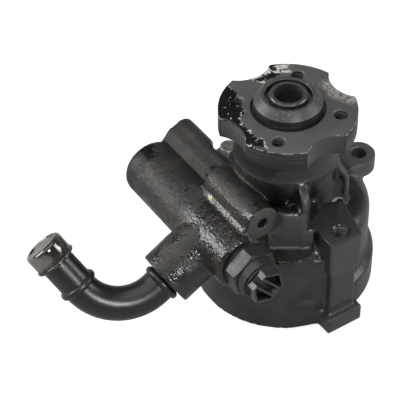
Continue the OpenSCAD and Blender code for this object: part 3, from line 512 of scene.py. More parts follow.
def casting_paint():
    """Black paint on a rough casting: coarse on the gallery, wet-looking on the neck, satin below."""
    g = Graph("casting_paint")
    blotch = g.noise(0.09, 2)
    skin = g.noise(0.35, 3)
    ragged = g.span(g.noise(0.3, 4), 0.3, 0.7, -3, 3)
    ragged_x = g.plus(g.x, ragged)
    ragged_y = g.plus(g.y, ragged)

    # Where each look lies
    gallery = g.times(g.fade(g.x, *GALLERY_X), g.fade(g.z, *GALLERY_Z))
    dull_side = g.times(g.fade(g.x, -42, -39), g.fade(g.y, -24, -16))
    dull = g.times(gallery, g.either(g.fade(ragged_y, 0, 15), dull_side))
    fin = g.times(gallery, g.fade(g.y, 14, 17), g.fade(g.x, -41, -39))
    boss = g.fade(g.x, -57, -63)
    thick = g.times(g.fade(ragged_y, 49, 51), g.fade(ragged_x, -44, -46))
    wet = g.times(g.fade(g.z, 50, 56), g.inverse(gallery), g.fade(g.radius(), 45, 42))
    # The turned neck is black, but lighter grey towards one side
    turned = g.fade(g.z, NECK_FOOT - 0.3, NECK_FOOT + 0.1)
    bare = g.times(turned, g.fade(g.plus(g.reach(NECK_LIGHT_SIDE), ragged), -1, 1))
    level = g.times(g.fade(g.upward(), 0.9, 0.97), g.within(g.z, MOUNT_Z - 0.3, MOUNT_Z + 0.3, 0.1))
    # Partly painted reflection: the ear's faced top has its own lighter satin finish, and its sides
    # share that colour as a painted reflection of the bright floor
    ear = g.times(g.fade(g.x, 33, 36), g.within(g.z, MOUNT_Z - EAR_T - 2, MOUNT_Z + 1, 1.0))
    # Painted reflection: the pad's upright face gets a lighter colour for the bright floor that it
    # mirrors; the passage's faced end shares that colour as its own machined grey
    pad_sheen = g.times(g.within(g.reach(PAD_ANGLE), PAD_REACH - 0.7, PAD_REACH + 0.7, 0.2),
                  g.within(g.reach(PAD_ANGLE + 90), -PAD_W / 2, PAD_W / 2, 0.3),
                  g.within(g.z, 48, PAD_TOP, 0.5))
    face = g.times(g.within(g.x, PASSAGE_X - 10, PASSAGE_X + 10, 0.3),
                   g.fade(g.y, PASSAGE_FACE + 0.6, PASSAGE_FACE + 0.3),
                   g.fade(g.z, PASSAGE_Z - 9, PASSAGE_Z - 8.5))
    # Painted reflection: the post's front faces get a lighter colour for the bright floor that they
    # mirror
    post_front_sheen = g.fade(g.y, -51, -53)
    skirt_step = g.near(SKIRT_STEP, 8, 2)
    spot = g.near((*FLAT_SPOT, VALVE_Z + VALVE_R), FLAT_SPOT_R + 0.6, 0.4)
    smear = g.span(g.noise(1.3, 3, 0.6), 0.35, 0.6, 0.1, 1.5)
    dab = g.fade(g.times(g.near(PAINT_DAB, PAINT_DAB_R, 1.4), smear), 0.45, 0.55)
    # Painted sheen: the ribs' crests get a lighter colour for the light that they catch
    half_crest = RIB_T / 2 - 0.3
    strips = [g.times(g.within(g.reach(angle + 90), -half_crest, half_crest, 0.4),
                      g.fade(g.reach(angle), 26, 28)) for angle, _ in RIBS]
    crest_sheen = g.times(g.either(*strips), g.within(g.z, MOUNT_Z, NECK_FOOT - 1, 1.5))

    satin = g.tint(g.fade(blotch, 0.35, 0.7), (0.024, 0.0233, 0.0228), (0.040, 0.0385, 0.037))
    brown = g.tint(g.fade(blotch, 0.4, 0.65), (0.010, 0.0095, 0.009), (0.024, 0.020, 0.016))
    colour = g.layers(g.tint, satin, [
        (gallery, brown),
        (wet, (0.007, 0.0067, 0.0065)),
        # painted sheen on the ribs' crests
        (crest_sheen, (0.045, 0.0435, 0.042)),
        (thick, PITCH_BLACK),
        (spot, (0.022, 0.0213, 0.0205)),
        # painted reflection on the pad, and the passage face's own machined grey
        (g.either(pad_sheen, face), (0.075, 0.0725, 0.0705)),
        (turned, PITCH_BLACK),
        (bare, (0.036, 0.035, 0.034)),
        (level, (0.040, 0.039, 0.038)),
        # painted reflection on the post's front
        (post_front_sheen, (0.055, 0.053, 0.051)),
        # the ear's own satin top, and painted reflection on its sides
        (ear, (0.085, 0.081, 0.077)),
        (dab, (0.62, 0.56, 0.30)),
    ])
    rough = g.layers(g.mix, g.span(skin, 0.3, 0.7, 0.28, 0.40), [
        (gallery, g.span(skin, 0.3, 0.7, 0.13, 0.20)),
        (g.times(dull, 0.9), 0.56),
        (fin, 0.62),
        (boss, g.mix(g.fade(g.noise(0.14, 2), 0.44, 0.56), 0.22, 0.5)),
        (wet, g.span(skin, 0.3, 0.7, 0.22, 0.30)),
        (thick, g.mix(g.fade(g.x, -54, -51), 0.55, 0.15)),
        (crest_sheen, 0.46),
        (skirt_step, 0.7),
        (turned, 0.8),
        (bare, 0.5),
        (spot, 0.46),
        (g.either(face, pad_sheen, ear), 0.48),
    ])
    peel = g.times(g.noise(0.75, 1.5, 0.5), 0.62)
    soft = g.mix(wet, g.times(skin, 0.3), g.times(g.noise(0.16, 1, 0.4), 0.5))
    flat = g.either(turned, spot, thick, face, level)
    rings = g.times(turned, g.noise(0.9, 2, 0.5, (0.05, 0.05, 4)), 0.12)
    height = g.plus(g.times(g.mix(gallery, soft, peel), g.inverse(flat)), rings)
    return g.finish(colour, rough, height, 0.6)


def gloss_edge(g, angle):
    """The gloss coat's inner radius at an angle given as a share of a turn."""
    curve = g.add("ShaderNodeFloatCurve", {"Value": angle})
    line = curve.mapping.curves[0]
    for i, (degrees, reach) in enumerate(GLOSS_EDGE):
        spot = (degrees / 360, reach / GLOSS_FAR)
        if i < 2:
            line.points[i].location = spot
        else:
            line.points.new(*spot)
    for point in line.points:
        point.handle_type = "VECTOR"
    curve.mapping.update()
    return g.times(curve.outputs[0], GLOSS_FAR)


def hub_black():
    """Satin black steel with a thick gloss coat round one side, chips and painted glints along its
    edge, painted glints in the coat, and scuffs.
    """
    g = Graph("hub_black")
    radius = g.radius()
    angle = g.math("FRACT", g.plus(g.math("DIVIDE", g.math("ARCTAN2", g.y, g.x), math.tau), 1.0))
    ragged = g.span(g.noise(0.55, 4, 0.6), 0.3, 0.7, -1.3, 1.3)
    past = g.math("SUBTRACT", g.plus(radius, ragged), gloss_edge(g, angle))
    turned = g.noise(0.8, 3, 0.5, (0.06, 0.06, 5))

    # Where each look lies
    top = g.fade(g.z, HUB_TOP - 1.2, HUB_TOP - 0.6)
    gloss = g.times(g.fade(past, -0.15, 0.15), top)
    edge = g.times(g.fade(past, -1.4, -0.6), g.fade(past, 1.6, 0.8), top)
    # Partly painted glints: bright flecks along the coat's edge stand for its chipped paint and for
    # the glints that the edge throws, and bright specks in the coat are painted glints
    chip_glints = g.times(edge, g.fade(g.noise(0.36, 4, 0.6), 0.56, 0.58))
    glint_specks = g.times(gloss, g.fade(g.noise(0.5, 1), 0.715, 0.73))
    rim = g.times(g.within(g.upward(), 0.2, 0.93, 0.05),
                  g.within(g.z, HUB_TOP - 0.7, HUB_TOP + 0.1, 0.1),
                  g.fade(radius, 30.2, 30.8),
                  g.fade(g.noise(0.3, 4, 0.6), 0.47, 0.55))
    scuff = g.times(g.either(*[g.near(point, reach, 2.5) for point, reach in SCUFFS]),
                    g.fade(g.noise(0.8, 5, 0.7, (1, 0.5, 1)), 0.38, 0.56))
    low, high = BARE_SWEEP
    bare = g.times(g.within(angle, low / 360, high / 360, 0.01),
                   g.within(radius, *BARE_REACH, 0.6),
                   top,
                   g.fade(g.noise(0.24, 5, 0.6), 0.49, 0.54))
    cone = g.fade(g.z, PILOT_WALL_TOP - 0.3, PILOT_WALL_TOP)
    nicks = g.times(g.fade(g.z, PILOT_WALL_TOP - 0.1, PILOT_WALL_TOP + 0.2),
                    g.fade(g.noise(0.8, 4, 0.65), 0.60, 0.66))
    # Painted shade: the hub's sides and underside get a far darker colour than its top, as less light
    # falls on them
    side = g.either(g.fade(g.upward(), 0.5, 0.2), g.fade(g.z, HUB_TOP - 0.8, HUB_TOP - 1.1))
    stripes = g.times(side, g.fade(turned, 0.52, 0.64))
    # Painted sheen: the scallops' walls get a lighter colour for the light that they catch
    lobes = g.math("COSINE", g.times(angle, 4 * math.tau))
    scallop_sheen = g.times(side, g.fade(lobes, -0.5, -0.2),
                      g.within(radius, SCALLOP_DEPTH_R - 0.3, HUB_R - 0.5, 0.2))

    satin = g.tint(g.noise(0.12, 3), (0.072, 0.070, 0.069), (0.100, 0.097, 0.095))
    colour = g.layers(g.tint, satin, [
        (cone, (0.050, 0.0485, 0.0475)),
        # painted shade on the hub's sides
        (side, (0.010, 0.0097, 0.0095)),
        # painted sheen in the scallops
        (stripes, (0.060, 0.058, 0.056)),
        (scallop_sheen, (0.062, 0.060, 0.058)),
        (nicks, (0.20, 0.193, 0.186)),
        (gloss, PITCH_BLACK),
        (g.times(scuff, 0.8), (0.42, 0.405, 0.39)),
        (bare, (0.58, 0.56, 0.54)),
        (g.times(rim, 0.8), (0.40, 0.385, 0.37)),
        # painted glints, with chipped paint along the coat's edge
        (g.either(chip_glints, glint_specks), (0.62, 0.60, 0.58)),
    ])
    rough = g.mix(gloss, g.span(g.noise(0.3, 3), 0.3, 0.7, 0.38, 0.5), 0.10)
    below_top = g.inverse(g.fade(g.z, HUB_TOP - 0.8, HUB_TOP - 0.4))
    grain = g.times(g.noise(2.2, 3, 0.6), 0.25)
    height = g.plus(g.times(turned, below_top, 0.7), grain, g.times(gloss, 0.9))
    return g.finish(colour, rough, height, 0.10)


def satin_paint(name, dark, light, rough_low, rough_high, depth, scale=0.5):
    """Paint or plastic with faint unevenness."""
    g = Graph(name)
    colour = g.tint(g.noise(0.15, 3), dark, light)
    rough = g.span(g.noise(0.25, 4), 0.3, 0.7, rough_low, rough_high)
    return g.finish(colour, rough, g.noise(scale, 3), depth)


def metal(name, colour, rough, metallic=0.9):
    """Plain metal with fine handling marks."""
    depth = 0.02
    swing = 0.08
    g = Graph(name)
    worn = tuple(0.7 * c for c in colour)
    shades = g.tint(g.fade(g.noise(0.4, 5, 0.65), 0.35, 0.65), worn, colour)
    roughness = g.span(g.noise(1.3, 4, 0.7), 0.3, 0.7, rough - swing, rough + swing)
    return g.finish(shades, roughness, g.noise(2.5, 3), depth, metallic)


def worn_zinc():
    """A zinc-plated bolt, darker on its upward faces; the light grey of its sides is partly painted
    light, lifting them out of the shadow that they lie in.
    """
    g = Graph("zinc_plate")
    # Upward faces are darker; the rest is light grey, partly painted light that brightens the
    # shadowed sides
    dark_top = g.times(g.fade(g.upward(), 0.8, 0.95), g.span(g.noise(0.6, 4), 0.3, 0.7, 0.75, 1.0))
    colour = g.tint(dark_top, (0.75, 0.72, 0.68), (0.05, 0.046, 0.044))
    return g.finish(colour, 0.42, g.noise(1.2, 3), 0.06)


def crumpled_gloss():
    """The cap's glossy skin, uneven from being pressed on."""
    g = Graph("cap_gloss")
    colour = g.tint(g.fade(g.noise(0.12, 2), 0.42, 0.58), (0.07, 0.066, 0.06), (0.22, 0.208, 0.19))
    return g.finish(colour, 0.10, g.noise(0.13, 1, 0.4), 0.35, 0.75)


# The casting

def rib_fillets():
    """Rods along both sides of each rib."""
    rods = []
    for angle, reach in RIBS:
        for side in (-1, 1):
            for swing, inset, r in RIB_FILLETS:
                place = round_shaft(angle + side * swing, reach - inset, 0)
                rods.append(rod("fill", r, RIB_LOW, RIB_TOP - inset, place))
    return rods


def casting_fills():
    """Rods that close the bores, and those that round the corners."""
    crease_x, crease_z = CREASE
    valve_len = SPOOL_BORE_END - VALVE_FRONT
    passage_len = PASSAGE_HOLE_DEPTH + 2 * FILL_END
    return [
        rod("fill", REAR_BORE_R + FILL_END, 0, REAR_BORE_TOP + FILL_END),
        rod("fill", BEARING_BORE_R + 2 * FILL_END, REAR_BORE_TOP - FILL_END, NECK_TOP),
        rod("fill", PORT_R + FILL_LAP, 0, valve_len + 2 * FILL_END, VALVE),
        rod("fill", SEAL_SEAT_R + FILL_LAP, 0, BOSS_LEN, OUT_OF_BOSS),
        rod("fill", PASSAGE_HOLE_R + FILL_LAP, 0, passage_len, PASSAGE),
        rod("fill", POST_HOLE_R + FILL_LAP, -POST_HOLE_DEPTH - FILL_END, 0, POST_HOLE),
        rod("fill", EAR_HOLE_R + FILL_LAP, -EAR_T, 0, EAR),
        rod("fill", BOLT_HOLE_R + FILL_LAP, -BOLT_HOLE_DEPTH - FILL_END, 0, LUG),
        rod("fill", SKIRT_RIDGE_R, 0, SKIRT_RIDGE_TOP, round_shaft(*SKIRT_RIDGE, 0)),
        rod("fill", CREASE_R, 1, CREASE_LEN, inward(crease_x, PASSAGE_FACE, crease_z)),
    ] + rib_fillets()


def smooth(obj, passes, group=""):
    """Adds a smoothing step, for a group of points or for all."""
    soften = obj.modifiers.new("soften", "SMOOTH")
    soften.factor = SMOOTH_FACTOR
    soften.iterations = passes
    soften.vertex_group = group


def casting_blank():
    """The casting before machining: bores filled, edges rounded, the gallery's skin uneven."""
    blank = add_object("pump_casting", NODES["pump_housing"].data.copy())
    shape = bmesh.new()
    shape.from_mesh(blank.data)
    for fill in casting_fills():
        shape.from_mesh(fill.data)
        bpy.data.objects.remove(fill)
    bmesh.ops.remove_doubles(shape, verts=shape.verts, dist=1e-7)
    shape.to_mesh(blank.data)
    shape.free()
    remesh = blank.modifiers.new("remesh", "REMESH")
    remesh.mode = "VOXEL"
    remesh.voxel_size = VOXEL * MM
    smooth(blank, SMOOTH_PASSES)
    bake(blank)
    melt_ribs(blank)
    roughen(blank.data)
    return blank


def vertex_places(mesh):
    places = np.empty(len(mesh.vertices) * 3, np.float32)
    mesh.vertices.foreach_get("co", places)
    return places.reshape(-1, 3) / MM


def ramp(values, low, high):
    """0 at low, 1 at high, straight between."""
    return np.clip((values - low) / (high - low), 0, 1)


def melt_ribs(obj):
    """Rounds the ribs and the hollows round the neck more than the rest."""
    x, y, z = vertex_places(obj.data).T
    share = ramp(z, *MELT_Z) * ramp(np.hypot(x, y), *MELT_RADIUS) * (x > MELT_X)
    group = obj.vertex_groups.new(name="neck")
    group.add([int(i) for i in np.flatnonzero(share > 0.5)], 1.0, "REPLACE")
    smooth(obj, RIB_PASSES, group.name)
    bake(obj)


def roughen(mesh):
    """Moves the gallery's skin in and out a little, as sand moulds leave it, and the rest less."""
    places = vertex_places(mesh)
    normals = np.empty(places.size, np.float32)
    mesh.vertex_normals.foreach_get("vector", normals)
    share = ramp(places[:, 0], *GALLERY_X) * ramp(places[:, 2], *GALLERY_Z)
    lumps = np.array([noise.noise(Vector(p) / LUMP_WAVE) for p in places])
    lift = LUMP_SWING * (LUMPS_ELSEWHERE + share) * lumps
    places += normals.reshape(-1, 3) * lift[:, None]
    mesh.vertices.foreach_set("co", (places * MM).ravel())
    mesh.update()


def through_hole(r, chamfer, low, high):
    """The profile of a hole with a chamfer at both ends."""
    wide = r + chamfer
    return [(wide, low - 1), (wide, low), (r, low + chamfer),
            (r, high - chamfer), (wide, high), (wide, high + 1)]


def machining():
    """The cutters for the bores, seats and faces."""
    tunnel = [(REAR_BORE_R, -2), (REAR_BORE_R, REAR_BORE_TOP),
              (SHAFT_BORE_R, REAR_BORE_TOP), (SHAFT_BORE_R, SEAL_LOW),
              (SEAL_BORE_R, SEAL_LOW), (SEAL_BORE_R, LEDGE_LOW),
              (LEDGE_R, LEDGE_LOW), (LEDGE_R, BEARING_LOW),
              (BEARING_BORE_R, BEARING_LOW), (BEARING_BORE_R, NECK_TOP + 2)]
    port_mouth = PORT_R + PORT_CHAMFER
    port_len = PORT_END - VALVE_FRONT
    port = [(port_mouth, -1), (port_mouth, SKIM), (PORT_R, SKIM + PORT_CHAMFER), (PORT_R, port_len),
            (SPOOL_BORE_R, port_len), (SPOOL_BORE_R, SPOOL_BORE_END - VALVE_FRONT)]
    pipe_fit = PIPE_R + PIPE_ROOM
    seat = [(BOSS_BORE_R, 0), (BOSS_BORE_R, BOSS_LEN - PIPE_SEAT), (pipe_fit, BOSS_LEN - PIPE_SEAT),
            (pipe_fit, BOSS_LEN - SEAL_SEAT_DEPTH), (SEAL_SEAT_R, BOSS_LEN - SEAL_SEAT_DEPTH),
            (SEAL_SEAT_R, BOSS_LEN + 1)]
    drill_tip = 2
    post_mouth = POST_HOLE_R + POST_CHAMFER
    post = [(POST_HOLE_R * 0.1, -POST_HOLE_DEPTH - drill_tip), (POST_HOLE_R, -POST_HOLE_DEPTH),
            (POST_HOLE_R, -POST_CHAMFER), (post_mouth, 0), (post_mouth, 1)]
    ear = through_hole(EAR_HOLE_R, EAR_CHAMFER, -EAR_T, 0)
    drilling_mouth = PASSAGE_HOLE_R + DRILLING_CHAMFER
    drilling = [(drilling_mouth, -1), (drilling_mouth, SKIM),
                (PASSAGE_HOLE_R, SKIM + DRILLING_CHAMFER), (PASSAGE_HOLE_R, PASSAGE_HOLE_DEPTH)]
    rise = NECK_TOP - MOUNT_Z
    spot_axis = at(VALVE_X, FLAT_SPOT[1], VALVE_Z) @ turn(FLAT_SPOT_LEAN, "Y")
    return [
        lathe("cut_rear_face", [(2 * COLLAR_R, -5), (2 * COLLAR_R, SKIM)]),
        rod("cut_mill", MILL_R, -SKIM, rise, round_shaft(MILL_ANGLE, MILL_REACH, MOUNT_Z), 128),
        rod("cut_ear_spot", EAR_SPOT_R, -SKIM, rise, EAR),
        rod("cut_lug_spot", LUG_SPOT_R, -SKIM, rise, LUG),
        rod("cut_passage_face", PASSAGE_R + 0.3, -6, SKIM, PASSAGE),
        rod("cut_boss_face", BOSS_R + 1, BOSS_LEN - SKIM, BOSS_LEN + 4, OUT_OF_BOSS),
        rod("cut_flat_spot", FLAT_SPOT_R, VALVE_R - FLAT_SPOT_CUT, VALVE_R + 3, spot_axis),
        lathe("cut_tunnel", tunnel, steps=128),
        lathe("cut_port", port, VALVE),
        lathe("cut_seat", seat, OUT_OF_BOSS),
        lathe("cut_post_hole", post, POST_HOLE),
        lathe("cut_ear_hole", ear, EAR),
        rod("cut_bolt_hole", BOLT_HOLE_R, -BOLT_HOLE_DEPTH, 1, LUG),
        lathe("cut_drilling", drilling, PASSAGE),
    ]


def housing(material):
    casting = casting_blank()
    foot = NECK_FOOT - 4
    chamfer = 1
    neck = [(NECK_R - 3, foot), (NECK_R, foot),
            (NECK_R, NECK_TOP - chamfer), (NECK_R - chamfer, NECK_TOP)]
    combine(casting, [lathe("turned_neck", neck, steps=160)], "UNION")
    combine(casting, machining(), "DIFFERENCE")
    shade(casting, 38)
    finish_piece(casting, "housing", material)
    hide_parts("pump_housing")


# The drive hub

def hub_hole_place(quarter):
    return round_shaft(HUB_TURN + 45 + 90 * quarter, HUB_HOLE_REACH, 0)


def hub_outline(inset):
    """The scalloped outline, drawn in by an inset."""
    centre = SCALLOP_DEPTH_R + SCALLOP_R
    rim = HUB_R - inset
    bite = SCALLOP_R + inset
    corner = math.acos((centre ** 2 + rim ** 2 - bite ** 2) / (2 * centre * rim))
    points = []
    for quarter in range(4):
        base = math.radians(HUB_TURN) + quarter * math.pi / 2
        for a in np.linspace(-corner, corner, 28, endpoint=False):
            reach = centre * math.cos(a) - math.sqrt(bite ** 2 - (centre * math.sin(a)) ** 2)
            points.append((reach * math.cos(base + a), reach * math.sin(base + a)))
        for a in np.linspace(corner, math.pi / 2 - corner, 40, endpoint=False):
            points.append((rim * math.cos(base + a), rim * math.sin(base + a)))
    return points


def hub(material):
    round_edge = [(0.5, 0.0), (0.15, 0.15), (0.0, 0.5)]
    levels = [(inset, HUB_LOW + rise) for inset, rise in round_edge]
    levels += [(inset, HUB_TOP - rise) for inset, rise in reversed(round_edge)]
    rings = [[(x, y, z) for x, y in hub_outline(inset)] for inset, z in levels]
    flange = from_rings("hub_flange", rings)
    pilot = [(PILOT_R, HUB_TOP - 3), (PILOT_R, PILOT_WALL_TOP - 0.3),
             (PILOT_R - 0.3, PILOT_WALL_TOP + 0.1), (PILOT_TIP_R + 0.4, PILOT_TOP - 0.4),
             (PILOT_TIP_R, PILOT_TOP)]
    sleeve = rod("hub_sleeve", HUB_SLEEVE_R, HUB_SLEEVE_LOW, HUB_LOW + 1, steps=96)
    groove = [(PILOT_R, HUB_TOP - GROOVE_DEPTH), (PILOT_R + GROOVE_W - 0.3, HUB_TOP - GROOVE_DEPTH),
              (PILOT_R + GROOVE_W, HUB_TOP - 0.3), (PILOT_R + GROOVE_W + 0.3, HUB_TOP + 0.5),
              (PILOT_R, HUB_TOP + 0.5)]
    bore = [(SHAFT_HUB_R, HUB_SLEEVE_LOW - 1), (SHAFT_HUB_R, PILOT_TOP - RECESS_DEPTH),
            (RECESS_R, PILOT_TOP - RECESS_DEPTH), (RECESS_R, PILOT_TOP - 0.4),
            (RECESS_R + 0.5, PILOT_TOP + 0.1), (RECESS_R + 0.5, PILOT_TOP + 1)]
    cuts = [lathe("hub_bore", bore), lathe("hub_groove", groove, looped=True)]
    hole = through_hole(HUB_HOLE_R, HUB_HOLE_CHAMFER, HUB_LOW, HUB_TOP)
    cuts += [lathe("hub_hole", hole, hub_hole_place(quarter), 40) for quarter in range(4)]
    combine(flange, [sleeve, lathe("hub_pilot", pilot, steps=128)], "UNION")
    combine(flange, cuts, "DIFFERENCE")
    shade(flange, 30)
    finish_piece(flange, "shaft", material)
    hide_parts("drive_hub")


def thread(name, place, r, pitch, low, high, body, material):
    """The ridge of an internal thread."""
    per_turn = 28
    count = int((high - low) / pitch * per_turn)
    root = r + 0.05
    tip = r - 0.5 * pitch
    half_root = 0.42 * pitch
    half_tip = 0.06 * pitch
    rings = []
    for i in range(count + 1):
        a = math.tau * i / per_turn
        z = low + pitch * i / per_turn
        section = [(root, z - half_root), (tip, z - half_tip),
                   (tip, z + half_tip), (root, z + half_root)]
        rings.append([(q * math.cos(a), q * math.sin(a), h) for q, h in section])
    ridge = from_rings(name, rings, place)
    shade(ridge, 40)
    finish_piece(ridge, body, material)


# The suction pipe and its cap

def pipe_radius(s):
    """Outer radius at a distance along the pipe, with its two beads."""
    half_width = BEAD_OUT * 1.15
    fullness = 0.8
    swell = 0.0
    for bead in (BOSS_LEN + STOP_BEAD_AT, BEND_START + BEND_LEN + HOSE_BEAD_AT - BEND_CUT):
        off = (s - bead) / half_width
        if abs(off) < 1:
            swell = max(swell, BEAD_OUT * math.sqrt(1 - off * off) ** fullness)
    return PIPE_R + swell


def pipe_station(s):
    """The pipe's centre at a distance along it, and its direction as an angle round the bend."""
    angle = min(max((s - BEND_START) / BEND_R, 0), math.radians(BEND_ANGLE))
    past = max(s - BEND_START - BEND_LEN, 0)
    x = min(s, BEND_START) + BEND_R * math.sin(angle) + past * math.cos(angle)
    z = BEND_R * (1 - math.cos(angle)) + past * math.sin(angle)
    return x, z, angle


def pipe_ring(s, r, steps=72):
    x, z, angle = pipe_station(s)
    ring = []
    for a in np.linspace(0, math.tau, steps, endpoint=False):
        out = r * math.cos(a)
        ring.append((x - out * math.sin(angle), r * math.sin(a), z + out * math.cos(angle)))
    return ring


def suction_pipe(material):
    end = BEND_START + BEND_LEN + LEG_END
    stations = np.arange(BOSS_LEN - PIPE_SEAT, end, 0.4)
    outer = [pipe_ring(s, pipe_radius(s)) for s in (*stations, end)]
    inner = [pipe_ring(s, PIPE_R - PIPE_WALL) for s in (end, *stations[::-8], stations[0])]
    pipe = from_rings("suction_tube", outer + inner, PIPE, looped=True)
    shade(pipe, 40)
    finish_piece(pipe, "housing", material)
    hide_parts("suction_pipe")


def pipe_cap(material):
    inner = PIPE_R + PIPE_ROOM
    outer = inner + CAP_WALL
    lip = 0.9
    crown = 2.1
    dish = 1.0
    pinhole = 0.3
    profile = [(inner, 0.0)]
    profile += arc((outer - lip / 2 + 0.25, lip), lip, -90, 90, 8)
    profile += [(outer, 2 * lip + 0.3)]
    profile += arc((outer - crown, CAP_LEN - crown), crown, 0, 90, 10)
    profile += arc((outer - crown, CAP_LEN - dish), dish, 90, 160, 6)
    profile += [(outer * 0.5, CAP_LEN - 0.95 * dish), (pinhole, CAP_LEN - dish)]
    profile += [(pinhole, CAP_LEN - CAP_WALL), (inner, CAP_LEN - CAP_WALL)]
    place = OUTER_LEG @ at(LEG_END - CAP_LEN + CAP_WALL, 0, 0) @ turn(90, "Y")
    cap = lathe("pipe_end_cap", profile, place, looped=True)
    shade(cap, 40)
    finish_piece(cap, "housing", material)
    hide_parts("pipe_cap")


# The pieces that take or keep their solids

def valve_springs(material):
    """Copies of the springs that the spool and the relief ball press on, each hung on its joint's
    parent body.
    """
    for joint in frame["record"]["behaviour"]["joints"]:
        for row in joint.get("deforming_nodes", []):
            coil = add_object(row["node"].replace("spring", "coil"), NODES[row["node"]].data.copy())
            shade(coil)
            finish_piece(coil, joint["parent"], material)
            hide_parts(row["node"])
            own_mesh(coil)


def dress(node, material, bevel=0.0):
    """Gives a solid its finish, with its sharp edges broken by a small bevel."""
    same_point = 0.002
    sharp = 28
    obj = NODES[node]
    obj.data.materials.clear()
    obj.data.materials.append(material)
    if bevel:
        weld = obj.modifiers.new("weld", "WELD")
        weld.merge_threshold = same_point * MM
        step = obj.modifiers.new("edges", "BEVEL")
        step.width = bevel * MM
        step.segments = 2
        step.limit_method = "ANGLE"
        step.angle_limit = math.radians(sharp)


# Studio

def camera():
    """The photograph's view: a long lens from the front left, looking down at the part."""
    azimuth = math.radians(-33)
    height = math.radians(43.088)
    roll = math.radians(-0.757)
    distance = 881.6
    focus_pixels = 1681.8
    frame_pixels = 400
    sensor = 36
    shift_side = -44.58
    shift_up = -1.793
    target_height = 50
    back = Vector((math.sin(azimuth) * math.cos(height), -math.cos(azimuth) * math.cos(height),
                   math.sin(height)))
    right = Vector((math.cos(azimuth), math.sin(azimuth), 0))
    up = back.cross(right)
    side = right * math.cos(roll) + up * math.sin(roll)
    rise = up * math.cos(roll) - right * math.sin(roll)
    target = side * shift_side + rise * shift_up + Vector((0, 0, target_height))
    eye = (target + back * distance) * MM
    data = bpy.data.cameras.new("photo_view")
    data.sensor_width = sensor
    data.lens = sensor * focus_pixels / frame_pixels
    data.clip_start = 0.01
    obj = add_object("photo_view", data)
    obj.matrix_world = Matrix.Translation(eye) @ Matrix((side, rise, back)).transposed().to_4x4()
    bpy.context.scene.camera = obj


def softbox(name, azimuth, height, distance, width, tall, radiance):
    """An area lamp that looks at the middle of the part, at a brightness given as seen."""
    middle = Vector((-0.03, 0, 0.055))
    a = math.radians(azimuth)
    h = math.radians(height)
    away = Vector((math.cos(a) * math.cos(h), math.sin(a) * math.cos(h), math.sin(h)))
    data = bpy.data.lights.new(name, "AREA")
    data.shape = "RECTANGLE"
    data.size = width
    data.size_y = tall
    data.energy = radiance * math.pi * width * tall
    data.color = LAMP_COLOUR
    obj = add_object(name, data)
    obj.location = middle + away * distance
    obj.rotation_euler = away.to_track_quat("Z", "Y").to_euler()
    return obj


def sky():
    """A pale room with a darker ceiling, seen by the camera as white. Levels go by height."""
    world = bpy.data.worlds.new("studio")
    bpy.context.scene.world = world
    world.use_nodes = True
    tree = world.node_tree
    background = tree.nodes["Background"]
    coords = tree.nodes.new("ShaderNodeTexCoord")
    split = tree.nodes.new("ShaderNodeSeparateXYZ")
    tree.links.new(coords.outputs["Generated"], split.inputs[0])
    ramp = tree.nodes.new("ShaderNodeValToRGB")
    tree.links.new(split.outputs[2], ramp.inputs[0])
    levels = [(0.0, 0.5), (0.1, 0.35), (0.3, 0.2), (0.55, 0.1), (1.0, 0.3)]
    stops = ramp.color_ramp.elements
    while len(stops) < len(levels):
        stops.new(1.0)
    for stop, (place, level) in zip(stops, levels):
        stop.position = place
        stop.color = (level, level, level, 1)
    path = tree.nodes.new("ShaderNodeLightPath")
    mix = tree.nodes.new("ShaderNodeMix")
    mix.data_type = "RGBA"
    tree.links.new(path.outputs["Is Camera Ray"], mix.inputs[0])
    tree.links.new(ramp.outputs[0], mix.inputs[6])
    mix.inputs[7].default_value = (1, 1, 1, 1)
    tree.links.new(mix.outputs[2], background.inputs["Color"])


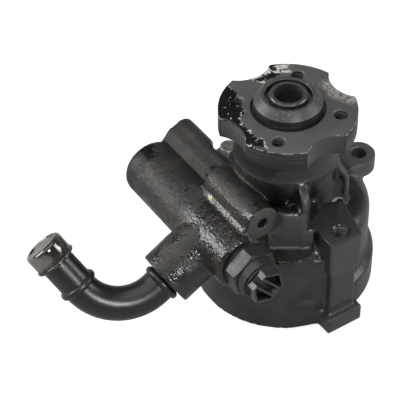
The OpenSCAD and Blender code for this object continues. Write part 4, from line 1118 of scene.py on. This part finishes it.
def floor():
    """A glowing grey floor: white with a soft shadow to the camera, dimmer in the metal."""
    reach = 6000
    grey = (0.4, 0.4, 0.4, 1)
    seen_glow = 0.85
    mirrored_glow = 0.2
    base = lathe("floor", [(reach, -20), (reach, -0.02)], steps=64)
    material = bpy.data.materials.new("floor_white")
    material.use_nodes = True
    tree = material.node_tree
    shader = tree.nodes["Principled BSDF"]
    shader.inputs["Base Color"].default_value = grey
    shader.inputs["Roughness"].default_value = 0.9
    shader.inputs["Specular IOR Level"].default_value = 0.0
    shader.inputs["Emission Color"].default_value = (1, 1, 1, 1)
    path = tree.nodes.new("ShaderNodeLightPath")
    mirrored = tree.nodes.new("ShaderNodeMath")
    mirrored.operation = "MULTIPLY"
    mirrored.inputs[1].default_value = mirrored_glow
    tree.links.new(path.outputs["Is Glossy Ray"], mirrored.inputs[0])
    glow = tree.nodes.new("ShaderNodeMath")
    glow.operation = "MULTIPLY_ADD"
    glow.inputs[1].default_value = seen_glow
    tree.links.new(path.outputs["Is Camera Ray"], glow.inputs[0])
    tree.links.new(mirrored.outputs[0], glow.inputs[2])
    tree.links.new(glow.outputs[0], shader.inputs["Emission Strength"])
    base.data.materials.append(material)


def studio():
    bpy.context.scene.view_settings.view_transform = "Standard"
    camera()
    sky()
    floor()
    boxes = {name: softbox(name, *values) for name, values in LAMPS.items()}
    boxes["fill_box"].visible_glossy = False
    boxes["front_box"].visible_diffuse = False


# The pump

def pump():
    looks = {name: satin_paint(name, *values) for name, values in SATINS.items()}
    looks.update({name: metal(name, *values) for name, values in METALS.items()})
    looks["zinc_plate"] = worn_zinc()
    black = hub_black()
    housing(casting_paint())
    hub(black)
    suction_pipe(looks["tube_paint"])
    pipe_cap(crumpled_gloss())
    thread("post_thread", POST_HOLE, POST_HOLE_R, POST_PITCH, -POST_HOLE_DEPTH + THREAD_FOOT,
           -THREAD_MOUTH, "housing", looks["thread_steel"])
    for quarter in range(4):
        thread(f"hub_thread_{quarter + 1}", hub_hole_place(quarter), HUB_HOLE_R, HUB_PITCH,
               HUB_LOW + THREAD_FOOT, HUB_TOP - THREAD_MOUTH, "shaft", black)
    valve_springs(looks["spring_steel"])
    for look, nodes in DRESSED.items():
        for node in nodes:
            dress(node, looks[look], BEVELS.get(node, 0.0))


pump()
studio()
